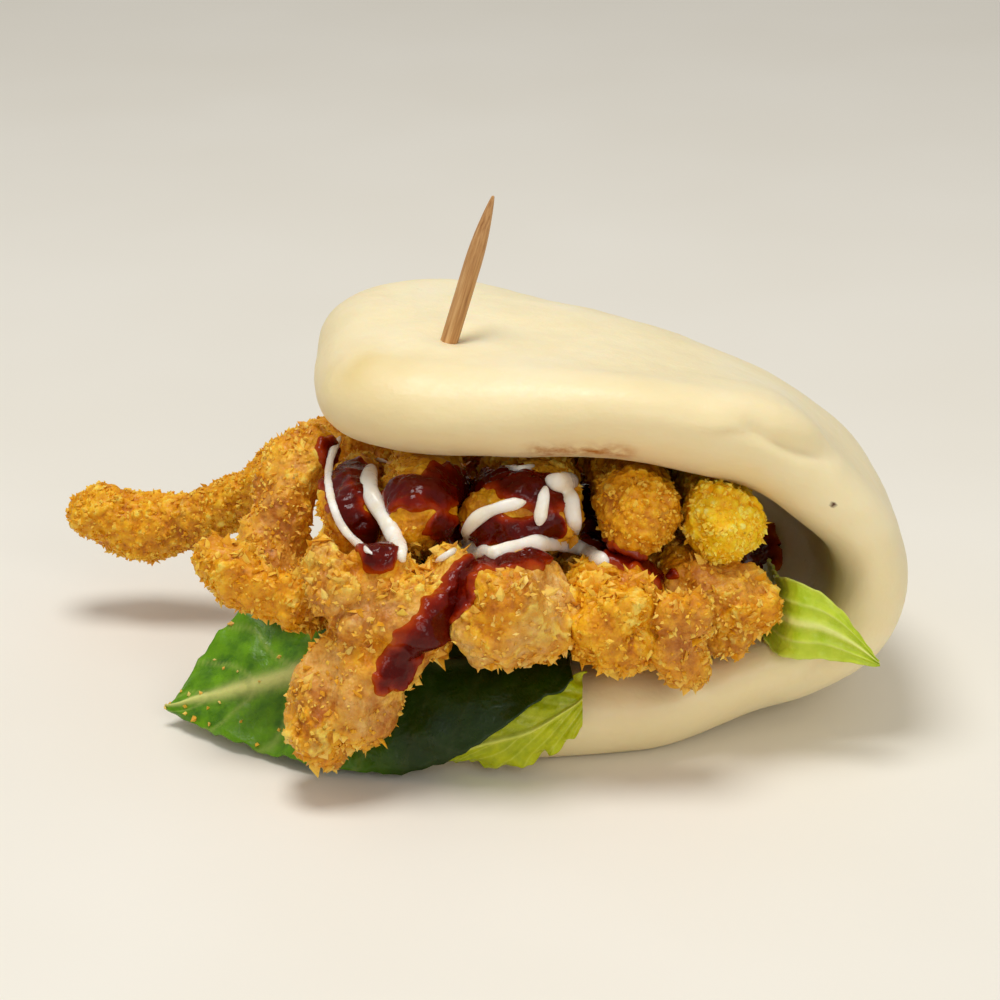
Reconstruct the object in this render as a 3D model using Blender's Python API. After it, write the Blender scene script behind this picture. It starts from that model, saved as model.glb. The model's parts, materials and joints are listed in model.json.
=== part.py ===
"""A folded steamed bun pinned with a toothpick, filled with crumbed fried strips on salad leaves.

The bun is a soft oval sheet of dough bent into a U that lies on its side: its fold points to +X,
its mouth opens to -X and -Y, and its lower flap stands flat on the surface. Dimensions are in
millimetres and become metres in `body`. The whole is moved at the end so that the origin is
centred under it on the surface.
"""

import math

import bmesh
import bpy
from mathutils import Vector, noise
from mathutils.bvhtree import BVHTree

MM = 0.001
BODY_GAP = 0.6  # free space left between pieces that lie against each other
CONTACT_ROUNDS = 12
TOUCHING = 1e-4
DEEPEST = 7.0  # no point inside a piece is farther from its surface than this

# The dough sheet, followed from the tip of the lower flap, round the fold, to the tip of the upper.
# Each arc is (length along the middle of the dough, turn in degrees).
BUN_ARCS = (
    (60.0, 0.0),
    (16.5, 84.0),
    (14.0, 52.0),
    (12.0, 22.0),
    (16.0, 13.0),
    (24.0, 9.0),
    (12.2, 8.0),
)
BUN_TIP_X = -27.0  # tip of the lower flap
BUN_FOLD_AT = 78.0  # distance from that tip to the middle of the fold
BUN_MIDDLE_Y = -7.0
LOWER_HALF_THICKNESS = 5.0
FOLD_HALF_THICKNESS = 4.4
UPPER_HALF_THICKNESS = 5.4
LOWER_HALF_WIDTH = 31.0
FOLD_HALF_WIDTH = 24.0
UPPER_HALF_WIDTH = 27.0
LOWER_SHIFT = -2.0  # the lower flap lies a little nearer than the upper
OUTLINE_POWER = 4.2
RIM_DEPTH = 7.0
BUN_STATIONS = 48
BUN_ACROSS = 12
FAR_DROOP_AT_FOLD = 9.5
FAR_DROOP_AT_TIP = 3.0
FAR_PULL = 12.0
PULL_FROM = -0.35  # the place across, as a share of the half width, where that begins
NEAR_RISE = 4.0
END_LIFT = 5.5
FAR_END_LIFT = 2.5
ROLL_AT = (102.0, -17.0)  # middle of the swelling on the near shoulder: along and across the sheet
ROLL_HEIGHT = 1.7
ROLL_SIZE = 7.0
PRESSED_BY = 0.4
PRESSED_SPAN = (0.0, 6.0)  # heights over which the pressing fades away
# Spans of the sheet, as distances from the lower tip, over which a feature goes from none to full.
LOWER_WIDENS = (66.0, 22.0)
UPPER_WIDENS = (80.0, 118.0)
LOWER_THINS = (48.0, 70.0)
UPPER_THICKENS = (86.0, 112.0)
LOWER_SHIFT_FADES = (40.0, 70.0)
PULL_STARTS = (40.0, 76.0)
DROOP_STARTS = (66.0, 92.0)
DROOP_EASES = (108.0, 144.7)
LOW_FOLD_STARTS = (44.0, 64.0)
LOW_FOLD_ENDS = (72.0, 98.0)
SHOULDER_STARTS = (86.0, 104.0)
SHOULDER_ENDS = (112.0, 142.0)
SPINE_STEP = 0.5
RIM_STEPS = 240

# The toothpick, from its upper point down through both flaps.
PICK_TIP = Vector((-0.8, -14.0, 63.0))
PICK_AXIS = Vector((-0.278, 0.0, -0.961))
PICK_LENGTH = 60.0
PICK_RADIUS = 1.05
PICK_TAPER = 9.0
PICK_POINT_RADIUS = 0.2
PICK_SIDES = 16
PICK_SHOULDER_AT = 0.45  # where the point swells, as a share of the taper
PICK_SHOULDER = 0.62  # how wide it is there, as a share of the full radius
PICK_END = 0.1
PICK_HOLE_GAP = 0.42

# Fried strips: stations (x, y, z, half-width, half-height) along each.
STRIP_SIDES = 12
STRIP_STEPS = 2  # rings from one station to the next
STRIP_TIP = 0.45  # how far an end bulges, as a share of its smaller half-width
STEEP = 0.8  # a strip that points up more than this is turned about another axis
STRIPS = {
    "fried_strip_long": (
        (-54.0, 8.0, 13.5, 2.0, 2.0),
        (-50.5, 8.0, 13.9, 3.6, 3.8),
        (-45.5, 8.0, 12.4, 4.4, 4.5),
        (-40.5, 7.0, 13.0, 4.0, 3.9),
        (-36.0, 6.0, 14.8, 3.4, 3.2),
        (-31.0, 5.0, 18.0, 3.8, 3.6),
        (-25.0, 3.5, 22.0, 4.4, 4.6),
        (-17.0, 2.5, 25.5, 4.8, 5.0),
        (-8.0, 3.0, 26.5, 4.6, 4.6),
        (-2.0, 5.0, 26.5, 3.2, 3.4),
    ),
    "fried_strip_upright": (
        (-22.4, -10.0, 32.0, 2.4, 2.2),
        (-23.6, -11.5, 29.5, 3.6, 3.2),
        (-25.6, -14.0, 25.6, 4.2, 3.6),
        (-26.6, -17.0, 22.6, 4.3, 3.6),
        (-26.6, -20.0, 19.0, 3.4, 3.0),
        (-24.4, -22.5, 16.6, 2.2, 2.2),
    ),
    "fried_nub_left": (
        (-34.6, -30.0, 25.0, 1.6, 1.7),
        (-32.6, -30.5, 23.3, 2.7, 2.8),
        (-29.4, -31.5, 20.7, 3.0, 3.0),
        (-25.4, -32.0, 19.4, 3.2, 3.2),
        (-21.5, -30.0, 18.6, 3.2, 3.4),
        (-16.0, -25.0, 17.5, 3.4, 3.6),
        (-10.5, -20.0, 17.0, 2.4, 2.6),
    ),
    "fried_nugget_left": (
        (15.8, -33.8, 30.6, 2.2, 2.4),
        (16.0, -31.7, 29.8, 4.2, 4.3),
        (16.2, -28.0, 29.0, 4.9, 5.0),
        (15.6, -20.0, 28.2, 4.4, 4.6),
        (14.6, -10.0, 28.2, 4.8, 4.6),
        (15.0, 0.0, 27.8, 4.4, 4.6),
        (14.2, 8.0, 26.6, 4.8, 4.2),
        (13.4, 14.5, 25.0, 3.4, 3.0),
    ),
    "fried_nugget_right": (
        (25.6, -33.4, 28.8, 2.4, 2.6),
        (25.8, -31.2, 28.4, 4.2, 4.5),
        (26.0, -27.5, 27.8, 4.6, 5.0),
        (25.4, -19.0, 26.6, 4.2, 4.4),
        (25.0, -10.0, 26.2, 4.4, 4.2),
        (24.8, -2.0, 25.4, 4.0, 4.0),
        (24.6, 3.0, 24.8, 3.2, 3.2),
    ),
    "fried_piece_right": (
        (31.4, -33.4, 18.4, 2.0, 2.4),
        (28.6, -33.4, 18.6, 3.8, 4.2),
        (24.8, -32.0, 18.4, 4.6, 5.2),
        (20.6, -27.5, 18.2, 4.8, 5.0),
        (18.6, -18.0, 17.6, 4.6, 4.4),
        (19.4, -7.0, 17.4, 4.8, 4.4),
        (19.8, 4.0, 17.0, 4.2, 4.2),
        (18.6, 13.0, 16.6, 4.4, 3.8),
        (17.6, 18.0, 15.8, 2.8, 2.6),
    ),
    "fried_piece_orange": (
        (14.4, -42.0, 19.4, 4.0, 3.8),
        (14.4, -39.4, 19.4, 5.8, 5.4),
        (13.8, -34.6, 18.8, 5.8, 5.4),
        (11.2, -26.0, 17.6, 4.8, 4.6),
        (9.0, -16.0, 17.0, 4.4, 4.4),
        (8.6, -5.0, 17.0, 4.6, 4.4),
        (9.2, 6.0, 16.8, 4.4, 4.0),
        (8.4, 15.0, 16.2, 3.6, 3.2),
    ),
    "fried_piece_pale": (
        (1.0, -43.4, 20.4, 4.4, 3.4),
        (0.9, -41.4, 20.7, 6.5, 5.6),
        (0.8, -36.2, 20.7, 6.5, 5.8),
        (-0.4, -27.0, 18.6, 5.0, 4.8),
        (-1.8, -15.0, 17.2, 4.4, 4.4),
        (-2.2, -4.0, 17.0, 4.6, 4.2),
        (-2.6, 7.0, 16.6, 4.4, 4.0),
        (-3.6, 15.5, 15.6, 3.0, 2.8),
    ),
    "fried_piece_inner": (
        (-10.4, -31.0, 28.6, 2.8, 2.6),
        (-10.0, -28.5, 28.8, 4.6, 4.4),
        (-9.4, -24.0, 28.4, 4.8, 4.8),
        (-9.0, -17.0, 28.0, 4.8, 4.8),
        (-9.6, -9.5, 27.6, 3.6, 3.6),
    ),
    "fried_piece_left": (
        (-18.4, -27.6, 26.8, 2.4, 2.4),
        (-17.8, -25.6, 27.0, 3.6, 4.0),
        (-17.2, -20.0, 26.6, 3.6, 4.8),
        (-17.0, -12.0, 25.6, 2.8, 4.2),
        (-17.6, -6.0, 24.0, 2.4, 2.8),
    ),
    "fried_piece_back": (
        (-11.0, -9.6, 17.4, 2.4, 2.4),
        (-11.6, -6.0, 17.6, 4.0, 4.2),
        (-12.0, 3.0, 17.6, 4.4, 4.2),
        (-12.6, 11.0, 17.4, 4.4, 4.2),
        (-13.2, 18.0, 16.4, 3.8, 3.6),
        (-13.4, 22.4, 15.6, 2.0, 2.0),
    ),
    "fried_piece_sauced": (
        (2.6, -31.6, 27.6, 4.6, 2.6),
        (2.4, -29.4, 27.8, 6.8, 4.2),
        (2.6, -25.0, 28.0, 6.4, 4.8),
        (3.6, -16.0, 28.2, 4.8, 4.8),
        (4.4, -6.0, 28.2, 4.6, 4.6),
        (4.0, 4.0, 27.8, 4.6, 4.4),
        (3.6, 12.0, 26.4, 3.8, 3.6),
        (3.2, 17.0, 24.8, 2.4, 2.2),
    ),
}
# The forked piece in front: its long arm ends in a lobe that hangs over the leaf.
FORK_LONG_ARM = (
    (-22.0, -35.0, 25.6, 2.2, 2.4),
    (-20.0, -36.4, 24.4, 3.4, 3.4),
    (-16.8, -38.6, 22.0, 4.8, 4.2),
    (-15.4, -39.8, 18.2, 5.6, 4.4),
    (-17.0, -41.0, 14.0, 5.8, 4.6),
    (-18.8, -42.0, 10.2, 5.6, 4.6),
    (-19.4, -42.6, 7.0, 4.6, 3.8),
    (-19.2, -42.8, 4.6, 2.8, 2.4),
)
FORK_MIDDLE = (
    (-14.2, -35.8, 26.8, 3.2, 1.8),
    (-13.8, -37.0, 25.4, 4.8, 3.0),
    (-13.2, -38.6, 22.0, 6.0, 4.2),
    (-13.0, -39.8, 18.0, 5.6, 4.4),
    (-14.4, -40.8, 14.4, 3.6, 3.2),
)
FORK_SHORT_ARM = (
    (-15.8, -39.4, 18.6, 3.6, 3.6),
    (-12.6, -39.4, 19.6, 5.0, 4.8),
    (-9.2, -38.8, 20.8, 4.7, 5.0),
    (-6.2, -37.0, 23.4, 3.8, 4.2),
    (-4.4, -35.4, 26.0, 2.4, 2.6),
)
FORK_ARMS = {
    "fried_fork": FORK_LONG_ARM,
    "fork_middle": FORK_MIDDLE,
    "fork_short_arm": FORK_SHORT_ARM,
}
FORK_SEED = 21
FORK_GAP = 0.8
# The thin flake of batter that stands in front on the right.
FLAKE = (
    (18.6, -41.9, 23.2, 1.4, 1.2),
    (19.8, -41.5, 21.2, 3.0, 1.8),
    (20.8, -40.6, 18.2, 3.4, 2.2),
    (21.6, -39.4, 15.2, 2.8, 2.2),
    (22.6, -38.0, 12.8, 1.8, 1.6),
)
FLAKE_SEED = 31

LUMP_HEIGHT = 1.1
LUMP_SIZE = 5.5
LUMP_SEED_STEP = Vector((7.3, 3.1, 1.7))  # moves each piece to its own part of the noise

# Salad leaves: rows of points from one edge of the leaf to the other, tip first.
LEAF_HALF_THICKNESS = 0.35
LEAF_GAP = 0.75
LEAF_STEPS = 18
LEAF_ACROSS = 7
LEAF_FINE_STEPS = 8
LEAF_ROWS = {
    "leaf_dark": (
        ((-40.0, -25.5, 2.0), (-40.0, -25.2, 2.2), (-39.6, -24.6, 2.6)),
        ((-33.0, -31.4, 1.3), (-33.6, -26.6, 4.4), (-35.4, -20.8, 7.8)),
        ((-26.0, -36.4, 1.2), (-28.0, -27.6, 6.4), (-31.0, -19.0, 12.4)),
        ((-20.0, -39.4, 1.2), (-22.4, -29.6, 8.8), (-25.0, -17.8, 12.6)),
        ((-11.0, -41.0, 1.2), (-14.0, -33.0, 11.8), (-17.0, -17.0, 12.4)),
        ((-3.0, -42.6, 5.2), (-5.0, -35.0, 12.4), (-8.0, -19.0, 12.4)),
        ((4.0, -41.4, 10.2), (2.0, -34.0, 12.6), (1.0, -22.0, 12.4)),
        ((8.6, -38.6, 12.0), (8.0, -33.0, 12.6), (8.0, -26.0, 12.4)),
    ),
    "leaf_frill": (
        ((-6.4, -38.6, 1.4), (-6.2, -39.2, 3.2), (-6.0, -39.4, 4.8)),
        ((-3.8, -38.8, 1.4), (-3.6, -39.4, 4.0), (-3.4, -39.2, 6.6)),
        ((-0.6, -39.2, 1.5), (-0.4, -39.6, 5.0), (-0.2, -38.6, 8.8)),
        ((3.4, -39.4, 2.0), (3.8, -39.4, 6.2), (4.2, -37.8, 10.2)),
        ((7.4, -40.2, 4.6), (7.6, -39.0, 8.2), (7.8, -36.6, 11.2)),
        ((9.6, -39.6, 6.6), (9.6, -38.0, 9.2), (9.4, -34.6, 11.2)),
    ),
    "leaf_back": (
        ((-21.0, -9.0, 11.8), (-22.0, 1.0, 12.0), (-20.6, 10.0, 12.2)),
        ((-14.0, -10.0, 11.8), (-15.0, 7.0, 12.0), (-15.6, 19.0, 11.4)),
        ((-6.0, -9.0, 11.8), (-6.6, 9.0, 12.0), (-7.0, 24.2, 10.0)),
        ((2.0, -9.0, 11.8), (1.8, 10.0, 12.0), (1.6, 25.4, 8.6)),
        ((10.0, -8.0, 11.8), (10.4, 10.0, 12.0), (10.8, 23.8, 10.2)),
        ((18.0, -6.0, 11.8), (18.4, 8.0, 12.2), (19.6, 20.6, 12.6)),
        ((24.0, -3.0, 12.0), (25.2, 5.0, 12.6), (26.6, 13.4, 13.2)),
    ),
    "leaf_light": (
        ((44.4, -35.4, 12.4), (44.3, -35.3, 12.7), (44.0, -35.1, 13.1)),
        ((41.2, -35.2, 12.8), (41.5, -34.9, 14.9), (41.4, -34.2, 16.8)),
        ((37.4, -34.6, 13.0), (37.8, -34.4, 16.8), (37.8, -33.0, 20.4)),
        ((33.8, -33.8, 12.8), (34.4, -33.4, 17.2), (34.2, -31.4, 21.6)),
        ((31.4, -29.2, 12.4), (32.6, -28.0, 16.2), (32.8, -26.0, 19.6)),
        ((30.4, -22.0, 12.2), (32.2, -20.6, 14.6), (32.8, -19.0, 17.4)),
        ((29.6, -12.0, 12.0), (31.6, -11.4, 13.8), (32.8, -11.0, 16.0)),
    ),
}
# Each leaf with the height at which it lies over the bun: the dark one lies over the frilly one.
LEAF_ORDER = (("leaf_frill", 0.0), ("leaf_dark", 1.2), ("leaf_back", 0.0), ("leaf_light", 0.0))

# Colour, roughness and metallic value of each kind of surface.
DOUGH_LOOK = ((0.86, 0.76, 0.52), 0.5)
CRUST_LOOK = ((0.62, 0.31, 0.05), 0.7)
PALE_CRUST_LOOK = ((0.66, 0.40, 0.14), 0.7)
YELLOW_CRUST_LOOK = ((0.85, 0.50, 0.06), 0.7)
SAUCED_LOOK = ((0.16, 0.03, 0.01), 0.35)
DARK_LEAF_LOOK = ((0.05, 0.14, 0.01), 0.4)
LIGHT_LEAF_LOOK = ((0.36, 0.45, 0.05), 0.4)
WOOD_LOOK = ((0.55, 0.30, 0.12), 0.6)
STRIP_LOOKS = {
    "fried_nugget_right": YELLOW_CRUST_LOOK,
    "fried_piece_pale": PALE_CRUST_LOOK,
    "fried_piece_sauced": SAUCED_LOOK,
    "fried_piece_left": SAUCED_LOOK,
}


def clear_scene():
    for thing in list(bpy.data.objects):
        bpy.data.objects.remove(thing, do_unlink=True)


def look(name, colour_and_roughness):
    """A Principled material with one colour and roughness and no metal."""
    colour, roughness = colour_and_roughness
    material = bpy.data.materials.new(name)
    material.use_nodes = True
    shader = material.node_tree.nodes["Principled BSDF"]
    shader.inputs["Base Color"].default_value = (*colour, 1.0)
    shader.inputs["Roughness"].default_value = roughness
    shader.inputs["Metallic"].default_value = 0.0
    return material


def body(name, points, faces, colour_and_roughness):
    """An object of points in millimetres, shaded smooth, with its faces pointing out."""
    mesh = bpy.data.meshes.new(name)
    mesh.from_pydata([p * MM for p in points], [], faces)
    grid = bmesh.new()
    grid.from_mesh(mesh)
    bmesh.ops.recalc_face_normals(grid, faces=grid.faces)
    grid.to_mesh(mesh)
    grid.free()
    mesh.shade_smooth()
    mesh.materials.append(look(name, colour_and_roughness))
    thing = bpy.data.objects.new(name, mesh)
    bpy.context.scene.collection.objects.link(thing)
    return thing


def smooth_step(value, span):
    """0 at the start of the span and 1 at its end, with a smooth curve between."""
    start, end = span
    share = min(max((value - start) / (end - start), 0.0), 1.0)
    return share * share * (3.0 - 2.0 * share)


def mix(first, second, share):
    return first + (second - first) * share


def ring_faces(rings, sides, first, last):
    """Faces of a tube of rings numbered one after another, closed by a point at each end."""
    faces = []
    for ring in range(rings - 1):
        for side in range(sides):
            after = (side + 1) % sides
            low = ring * sides
            high = low + sides
            faces.append((low + side, low + after, high + after, high + side))
    end = (rings - 1) * sides
    for side in range(sides):
        after = (side + 1) % sides
        faces.append((first, after, side))
        faces.append((last, end + side, end + after))
    return faces


# ---------------------------------------------------------------- bun


def bun_length():
    return sum(length for length, _ in BUN_ARCS)


def spine_table():
    """Points (x, z, heading) along the middle of the dough, one every SPINE_STEP."""
    x, z, heading = BUN_TIP_X, LOWER_HALF_THICKNESS, 0.0
    table = [(x, z, heading)]
    for length, turn in BUN_ARCS:
        count = round(length / SPINE_STEP)
        for _ in range(count):
            heading += math.radians(turn) / count
            x += math.cos(heading) * length / count
            z += math.sin(heading) * length / count
            table.append((x, z, heading))
    return table


def on_spine(table, along):
    """The spine's point and heading at a distance from the lower tip."""
    place = along / bun_length() * (len(table) - 1)
    low = min(max(int(place), 0), len(table) - 2)
    share = place - low
    return tuple(mix(a, b, share) for a, b in zip(table[low], table[low + 1]))


def half_width(along):
    """Half the sheet's width before its ends are rounded off."""
    width = mix(FOLD_HALF_WIDTH, LOWER_HALF_WIDTH, smooth_step(along, LOWER_WIDENS))
    return mix(width, UPPER_HALF_WIDTH, smooth_step(along, UPPER_WIDENS))


def outline(along):
    """Half the sheet's width at a distance from the lower tip, rounded at both tips."""
    reach = BUN_FOLD_AT if along < BUN_FOLD_AT else bun_length() - BUN_FOLD_AT
    share = min(abs(along - BUN_FOLD_AT) / reach, 1.0)
    return half_width(along) * (1.0 - share**OUTLINE_POWER) ** (1.0 / OUTLINE_POWER)


def spaced_along(step, count):
    """The distance of a step from the lower tip, with the steps closer together at both tips."""
    return bun_length() * 0.5 * (1.0 - math.cos(math.pi * step / count))


def rim_points():
    """Points round one half of the sheet's outline, for distances to its rim."""
    places = [spaced_along(i, RIM_STEPS) for i in range(RIM_STEPS + 1)]
    return [(place, outline(place)) for place in places]


def rim_distance(rim, along, across):
    """How far a point of the sheet lies inside its outline."""
    best = 1e9
    for (a0, w0), (a1, w1) in zip(rim, rim[1:]):
        run, rise = a1 - a0, w1 - w0
        square = run * run + rise * rise
        share = ((along - a0) * run + (abs(across) - w0) * rise) / max(square, 1e-12)
        share = min(max(share, 0.0), 1.0)
        best = min(best, math.hypot(along - a0 - run * share, abs(across) - w0 - rise * share))
    return best


def half_thickness(along):
    thickness = mix(LOWER_HALF_THICKNESS, FOLD_HALF_THICKNESS, smooth_step(along, LOWER_THINS))
    return mix(thickness, UPPER_HALF_THICKNESS, smooth_step(along, UPPER_THICKENS))


def sag(along, share):
    """How far the dough hangs down on its far side."""
    far = max(share, 0.0) ** 2 * smooth_step(along, DROOP_STARTS)
    return mix(FAR_DROOP_AT_FOLD, FAR_DROOP_AT_TIP, smooth_step(along, DROOP_EASES)) * far


def draw_back(along, share):
    """How far the fold is drawn in towards the mouth, more and more towards its far side."""
    span = smooth_step(along, PULL_STARTS) - smooth_step(along, DROOP_EASES)
    reach = max((share - PULL_FROM) / (1.0 - PULL_FROM), 0.0)
    return FAR_PULL * span * reach**2


def rise(along, share):
    """How far the edges of the dough curl up under the fold and over the near shoulder."""
    at_low_fold = smooth_step(along, LOW_FOLD_STARTS) - smooth_step(along, LOW_FOLD_ENDS)
    at_shoulder = smooth_step(along, SHOULDER_STARTS) - smooth_step(along, SHOULDER_ENDS)
    end_lift = END_LIFT if share < 0.0 else FAR_END_LIFT
    return end_lift * at_low_fold * share**2 + NEAR_RISE * at_shoulder * min(share, 0.0) ** 2


def swelling(along, across, offset):
    """How far the near shoulder swells outwards."""
    roll_x = (along - ROLL_AT[0]) / ROLL_SIZE
    roll_y = (across - ROLL_AT[1]) / ROLL_SIZE
    height = ROLL_HEIGHT * math.exp(-roll_x * roll_x - roll_y * roll_y)
    return height * min(max(offset, 0.0) / FOLD_HALF_THICKNESS, 1.0)


def pressed(height):
    """The height of a point once the underside has been pressed flat by the bun's weight."""
    return max(height - PRESSED_BY * (1.0 - smooth_step(height, PRESSED_SPAN)), 0.0)


def bun_point(table, along, across, offset):
    """A point of the folded bun; `offset` is measured outwards from the middle of the dough."""
    x, z, heading = on_spine(table, along)
    out_x, out_z = math.sin(heading), -math.cos(heading)
    share = across / half_width(along)
    droop = sag(along, share)
    pull = draw_back(along, share)
    shift = LOWER_SHIFT * (1.0 - smooth_step(along, LOWER_SHIFT_FADES))
    offset += swelling(along, across, offset)
    return Vector(
        (
            x + out_x * offset - pull,
            BUN_MIDDLE_Y + shift + across,
            pressed(z + out_z * offset - droop + rise(along, share)),
        )
    )


def bun_surface():
    """Points and faces of the dough: a flat ring round the sheet at each station of its length."""
    table = spine_table()
    rim = rim_points()
    points = []
    for station in range(1, BUN_STATIONS):
        along = spaced_along(station, BUN_STATIONS)
        width = outline(along)
        thickness = half_thickness(along)
        loop = []
        for side in range(2 * BUN_ACROSS):
            angle = math.pi * side / BUN_ACROSS
            across = width * math.cos(angle)
            depth = min(rim_distance(rim, along, across) / RIM_DEPTH, 1.0)
            offset = thickness * math.sqrt(max(1.0 - (1.0 - depth) ** 2, 0.0))
            sign = 1.0 if side < BUN_ACROSS else -1.0
            if side in (0, BUN_ACROSS):
                sign = 0.0
            loop.append(bun_point(table, along, across, sign * offset))
        points.extend(loop)
    first = len(points)
    points.append(bun_point(table, 0.0, 0.0, 0.0))
    points.append(bun_point(table, bun_length(), 0.0, 0.0))
    return points, ring_faces(BUN_STATIONS - 1, 2 * BUN_ACROSS, first, first + 1)


def make_bun():
    points, faces = bun_surface()
    return body("bun", points, faces, DOUGH_LOOK)


# ---------------------------------------------------------------- toothpick


def pick_surface(extra):
    """A round stick pointed at both ends, `extra` wider and longer all round."""
    axis = PICK_AXIS.normalized()
    side_a = Vector((0.0, 1.0, 0.0))
    side_b = axis.cross(side_a)
    point_radius = PICK_POINT_RADIUS + 0.5 * extra
    shoulder_radius = PICK_SHOULDER * PICK_RADIUS + extra
    shoulder_at = PICK_SHOULDER_AT * PICK_TAPER
    stations = (
        (-extra, point_radius),
        (shoulder_at, shoulder_radius),
        (PICK_TAPER, PICK_RADIUS + extra),
        (PICK_LENGTH - PICK_TAPER, PICK_RADIUS + extra),
        (PICK_LENGTH - shoulder_at, shoulder_radius),
        (PICK_LENGTH + extra, point_radius),
    )
    points = []
    for along, radius in stations:
        for side in range(PICK_SIDES):
            angle = 2.0 * math.pi * side / PICK_SIDES
            spoke = side_a * math.cos(angle) + side_b * math.sin(angle)
            points.append(PICK_TIP + axis * along + spoke * radius)
    first = len(points)
    points.append(PICK_TIP - axis * (extra + PICK_END))
    points.append(PICK_TIP + axis * (PICK_LENGTH + extra + PICK_END))
    return points, ring_faces(len(stations), PICK_SIDES, first, first + 1)


def make_toothpick():
    points, faces = pick_surface(0.0)
    body("toothpick", points, faces, WOOD_LOOK)


def make_pick_cutter():
    points, faces = pick_surface(PICK_HOLE_GAP)
    cutter = body("pick_hole_cutter", points, faces, WOOD_LOOK)
    cutter.hide_render = True
    cutter.display_type = "WIRE"
    return cutter


def pierce(thing, cutter):
    hole = thing.modifiers.new("pick_hole", "BOOLEAN")
    hole.operation = "DIFFERENCE"
    hole.solver = "EXACT"
    hole.object = cutter


# ---------------------------------------------------------------- fried pieces


def smooth_stations(stations, per_span):
    """Stations joined by a smooth curve (Catmull-Rom) through all of them."""
    rows = [list(stations[0])] + [list(s) for s in stations] + [list(stations[-1])]
    found = []
    for i in range(1, len(rows) - 2):
        for step in range(per_span):
            t = step / per_span
            found.append(
                [
                    0.5
                    * (
                        2.0 * b
                        + (c - a) * t
                        + (2.0 * a - 5.0 * b + 4.0 * c - d) * t * t
                        + (3.0 * b - a - 3.0 * c + d) * t**3
                    )
                    for a, b, c, d in zip(*rows[i - 1 : i + 3])
                ]
            )
    found.append(rows[-2])
    return found


def lumpy(point, centre, seed):
    """Moves a point of a crust in or out by a smooth unevenness."""
    place = point / LUMP_SIZE + LUMP_SEED_STEP * seed
    return point + (point - centre).normalized() * (noise.noise(place) * LUMP_HEIGHT)


def strip_surface(stations, seed):
    """An uneven strip with oval sections across a smooth path, rounded off at both ends."""
    path = smooth_stations(stations, STRIP_STEPS)
    points = []
    for i, (x, y, z, wide, high) in enumerate(path):
        centre = Vector((x, y, z))
        before = Vector(path[max(i - 1, 0)][:3])
        after = Vector(path[min(i + 1, len(path) - 1)][:3])
        ahead = (after - before).normalized()
        helper = Vector((0.0, 0.0, 1.0)) if abs(ahead.z) < STEEP else Vector((0.0, -1.0, 0.0))
        across = ahead.cross(helper).normalized()
        up = across.cross(ahead)
        for side in range(STRIP_SIDES):
            angle = 2.0 * math.pi * side / STRIP_SIDES
            spoke = across * (wide * math.cos(angle)) + up * (high * math.sin(angle))
            points.append(lumpy(centre + spoke, centre, seed))
    first = len(points)
    for end, inner in ((0, 1), (len(path) - 1, len(path) - 2)):
        tip = Vector(path[end][:3])
        outward = (tip - Vector(path[inner][:3])).normalized()
        points.append(tip + outward * (STRIP_TIP * min(path[end][3:])))
    return points, ring_faces(len(path), STRIP_SIDES, first, first + 1)


def tree_of(thing):
    """A search tree of an object's surface, in millimetres."""
    mesh = thing.data
    points = [v.co / MM for v in mesh.vertices]
    faces = [tuple(p.vertices) for p in mesh.polygons]
    return BVHTree.FromPolygons(points, faces)


def give_way(points, trees, gap):
    """Moves points that lie in or against earlier pieces out of them, so the pieces rest together."""
    for _ in range(CONTACT_ROUNDS):
        for tree in trees:
            for point in points:
                place, normal, _, distance = tree.find_nearest(point)
                outside = (point - place).dot(normal) > 0.0
                if distance > DEEPEST or (outside and distance >= gap):
                    continue
                clear = outside and distance > TOUCHING
                away = (point - place).normalized() if clear else normal
                point[:] = place + away * gap


def settle_fork(trees):
    """The forked piece: its three arms joined into one."""
    arms = []
    for seed, (name, stations) in enumerate(FORK_ARMS.items(), start=FORK_SEED):
        points, faces = strip_surface(stations, seed)
        give_way(points, trees, FORK_GAP)
        arms.append(body(name, points, faces, CRUST_LOOK))
    for arm in arms[1:]:
        join = arms[0].modifiers.new(arm.name, "BOOLEAN")
        join.operation = "UNION"
        join.solver = "EXACT"
        join.object = arm
        arm.hide_render = True
        arm.display_type = "WIRE"
    return arms


def make_fried_pieces(bun):
    """All fried pieces in the order in which they settle against the bun and each other."""
    trees = [tree_of(bun)]
    made = {}
    for seed, (name, stations) in enumerate(STRIPS.items(), start=1):
        points, faces = strip_surface(stations, seed)
        give_way(points, trees, BODY_GAP)
        made[name] = body(name, points, faces, STRIP_LOOKS.get(name, CRUST_LOOK))
        trees.append(tree_of(made[name]))
    arms = settle_fork(trees)
    trees.extend(tree_of(arm) for arm in arms)
    points, faces = strip_surface(FLAKE, FLAKE_SEED)
    give_way(points, trees, BODY_GAP)
    made["fried_flake"] = body("fried_flake", points, faces, PALE_CRUST_LOOK)
    trees.append(tree_of(made["fried_flake"]))
    return made, trees


# ---------------------------------------------------------------- salad leaves


def leaf_grid(rows):
    """A smooth net of points through the rows: LEAF_STEPS along the leaf, LEAF_ACROSS over it."""
    lines = []
    for column in range(3):
        stations = [row[column] for row in rows]
        fine = smooth_stations(stations, LEAF_FINE_STEPS)
        count = len(fine) - 1
        lines.append([fine[round(count * i / LEAF_STEPS)] for i in range(LEAF_STEPS + 1)])
    grid = []
    for near, middle, far in zip(*lines):
        cross = []
        for j in range(LEAF_ACROSS):
            t = 2.0 * j / (LEAF_ACROSS - 1)
            ends = (near, middle) if t <= 1.0 else (middle, far)
            share = t if t <= 1.0 else t - 1.0
            cross.append(Vector(mix(a, b, share) for a, b in zip(*ends)))
        grid.append(cross)
    return grid


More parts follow.
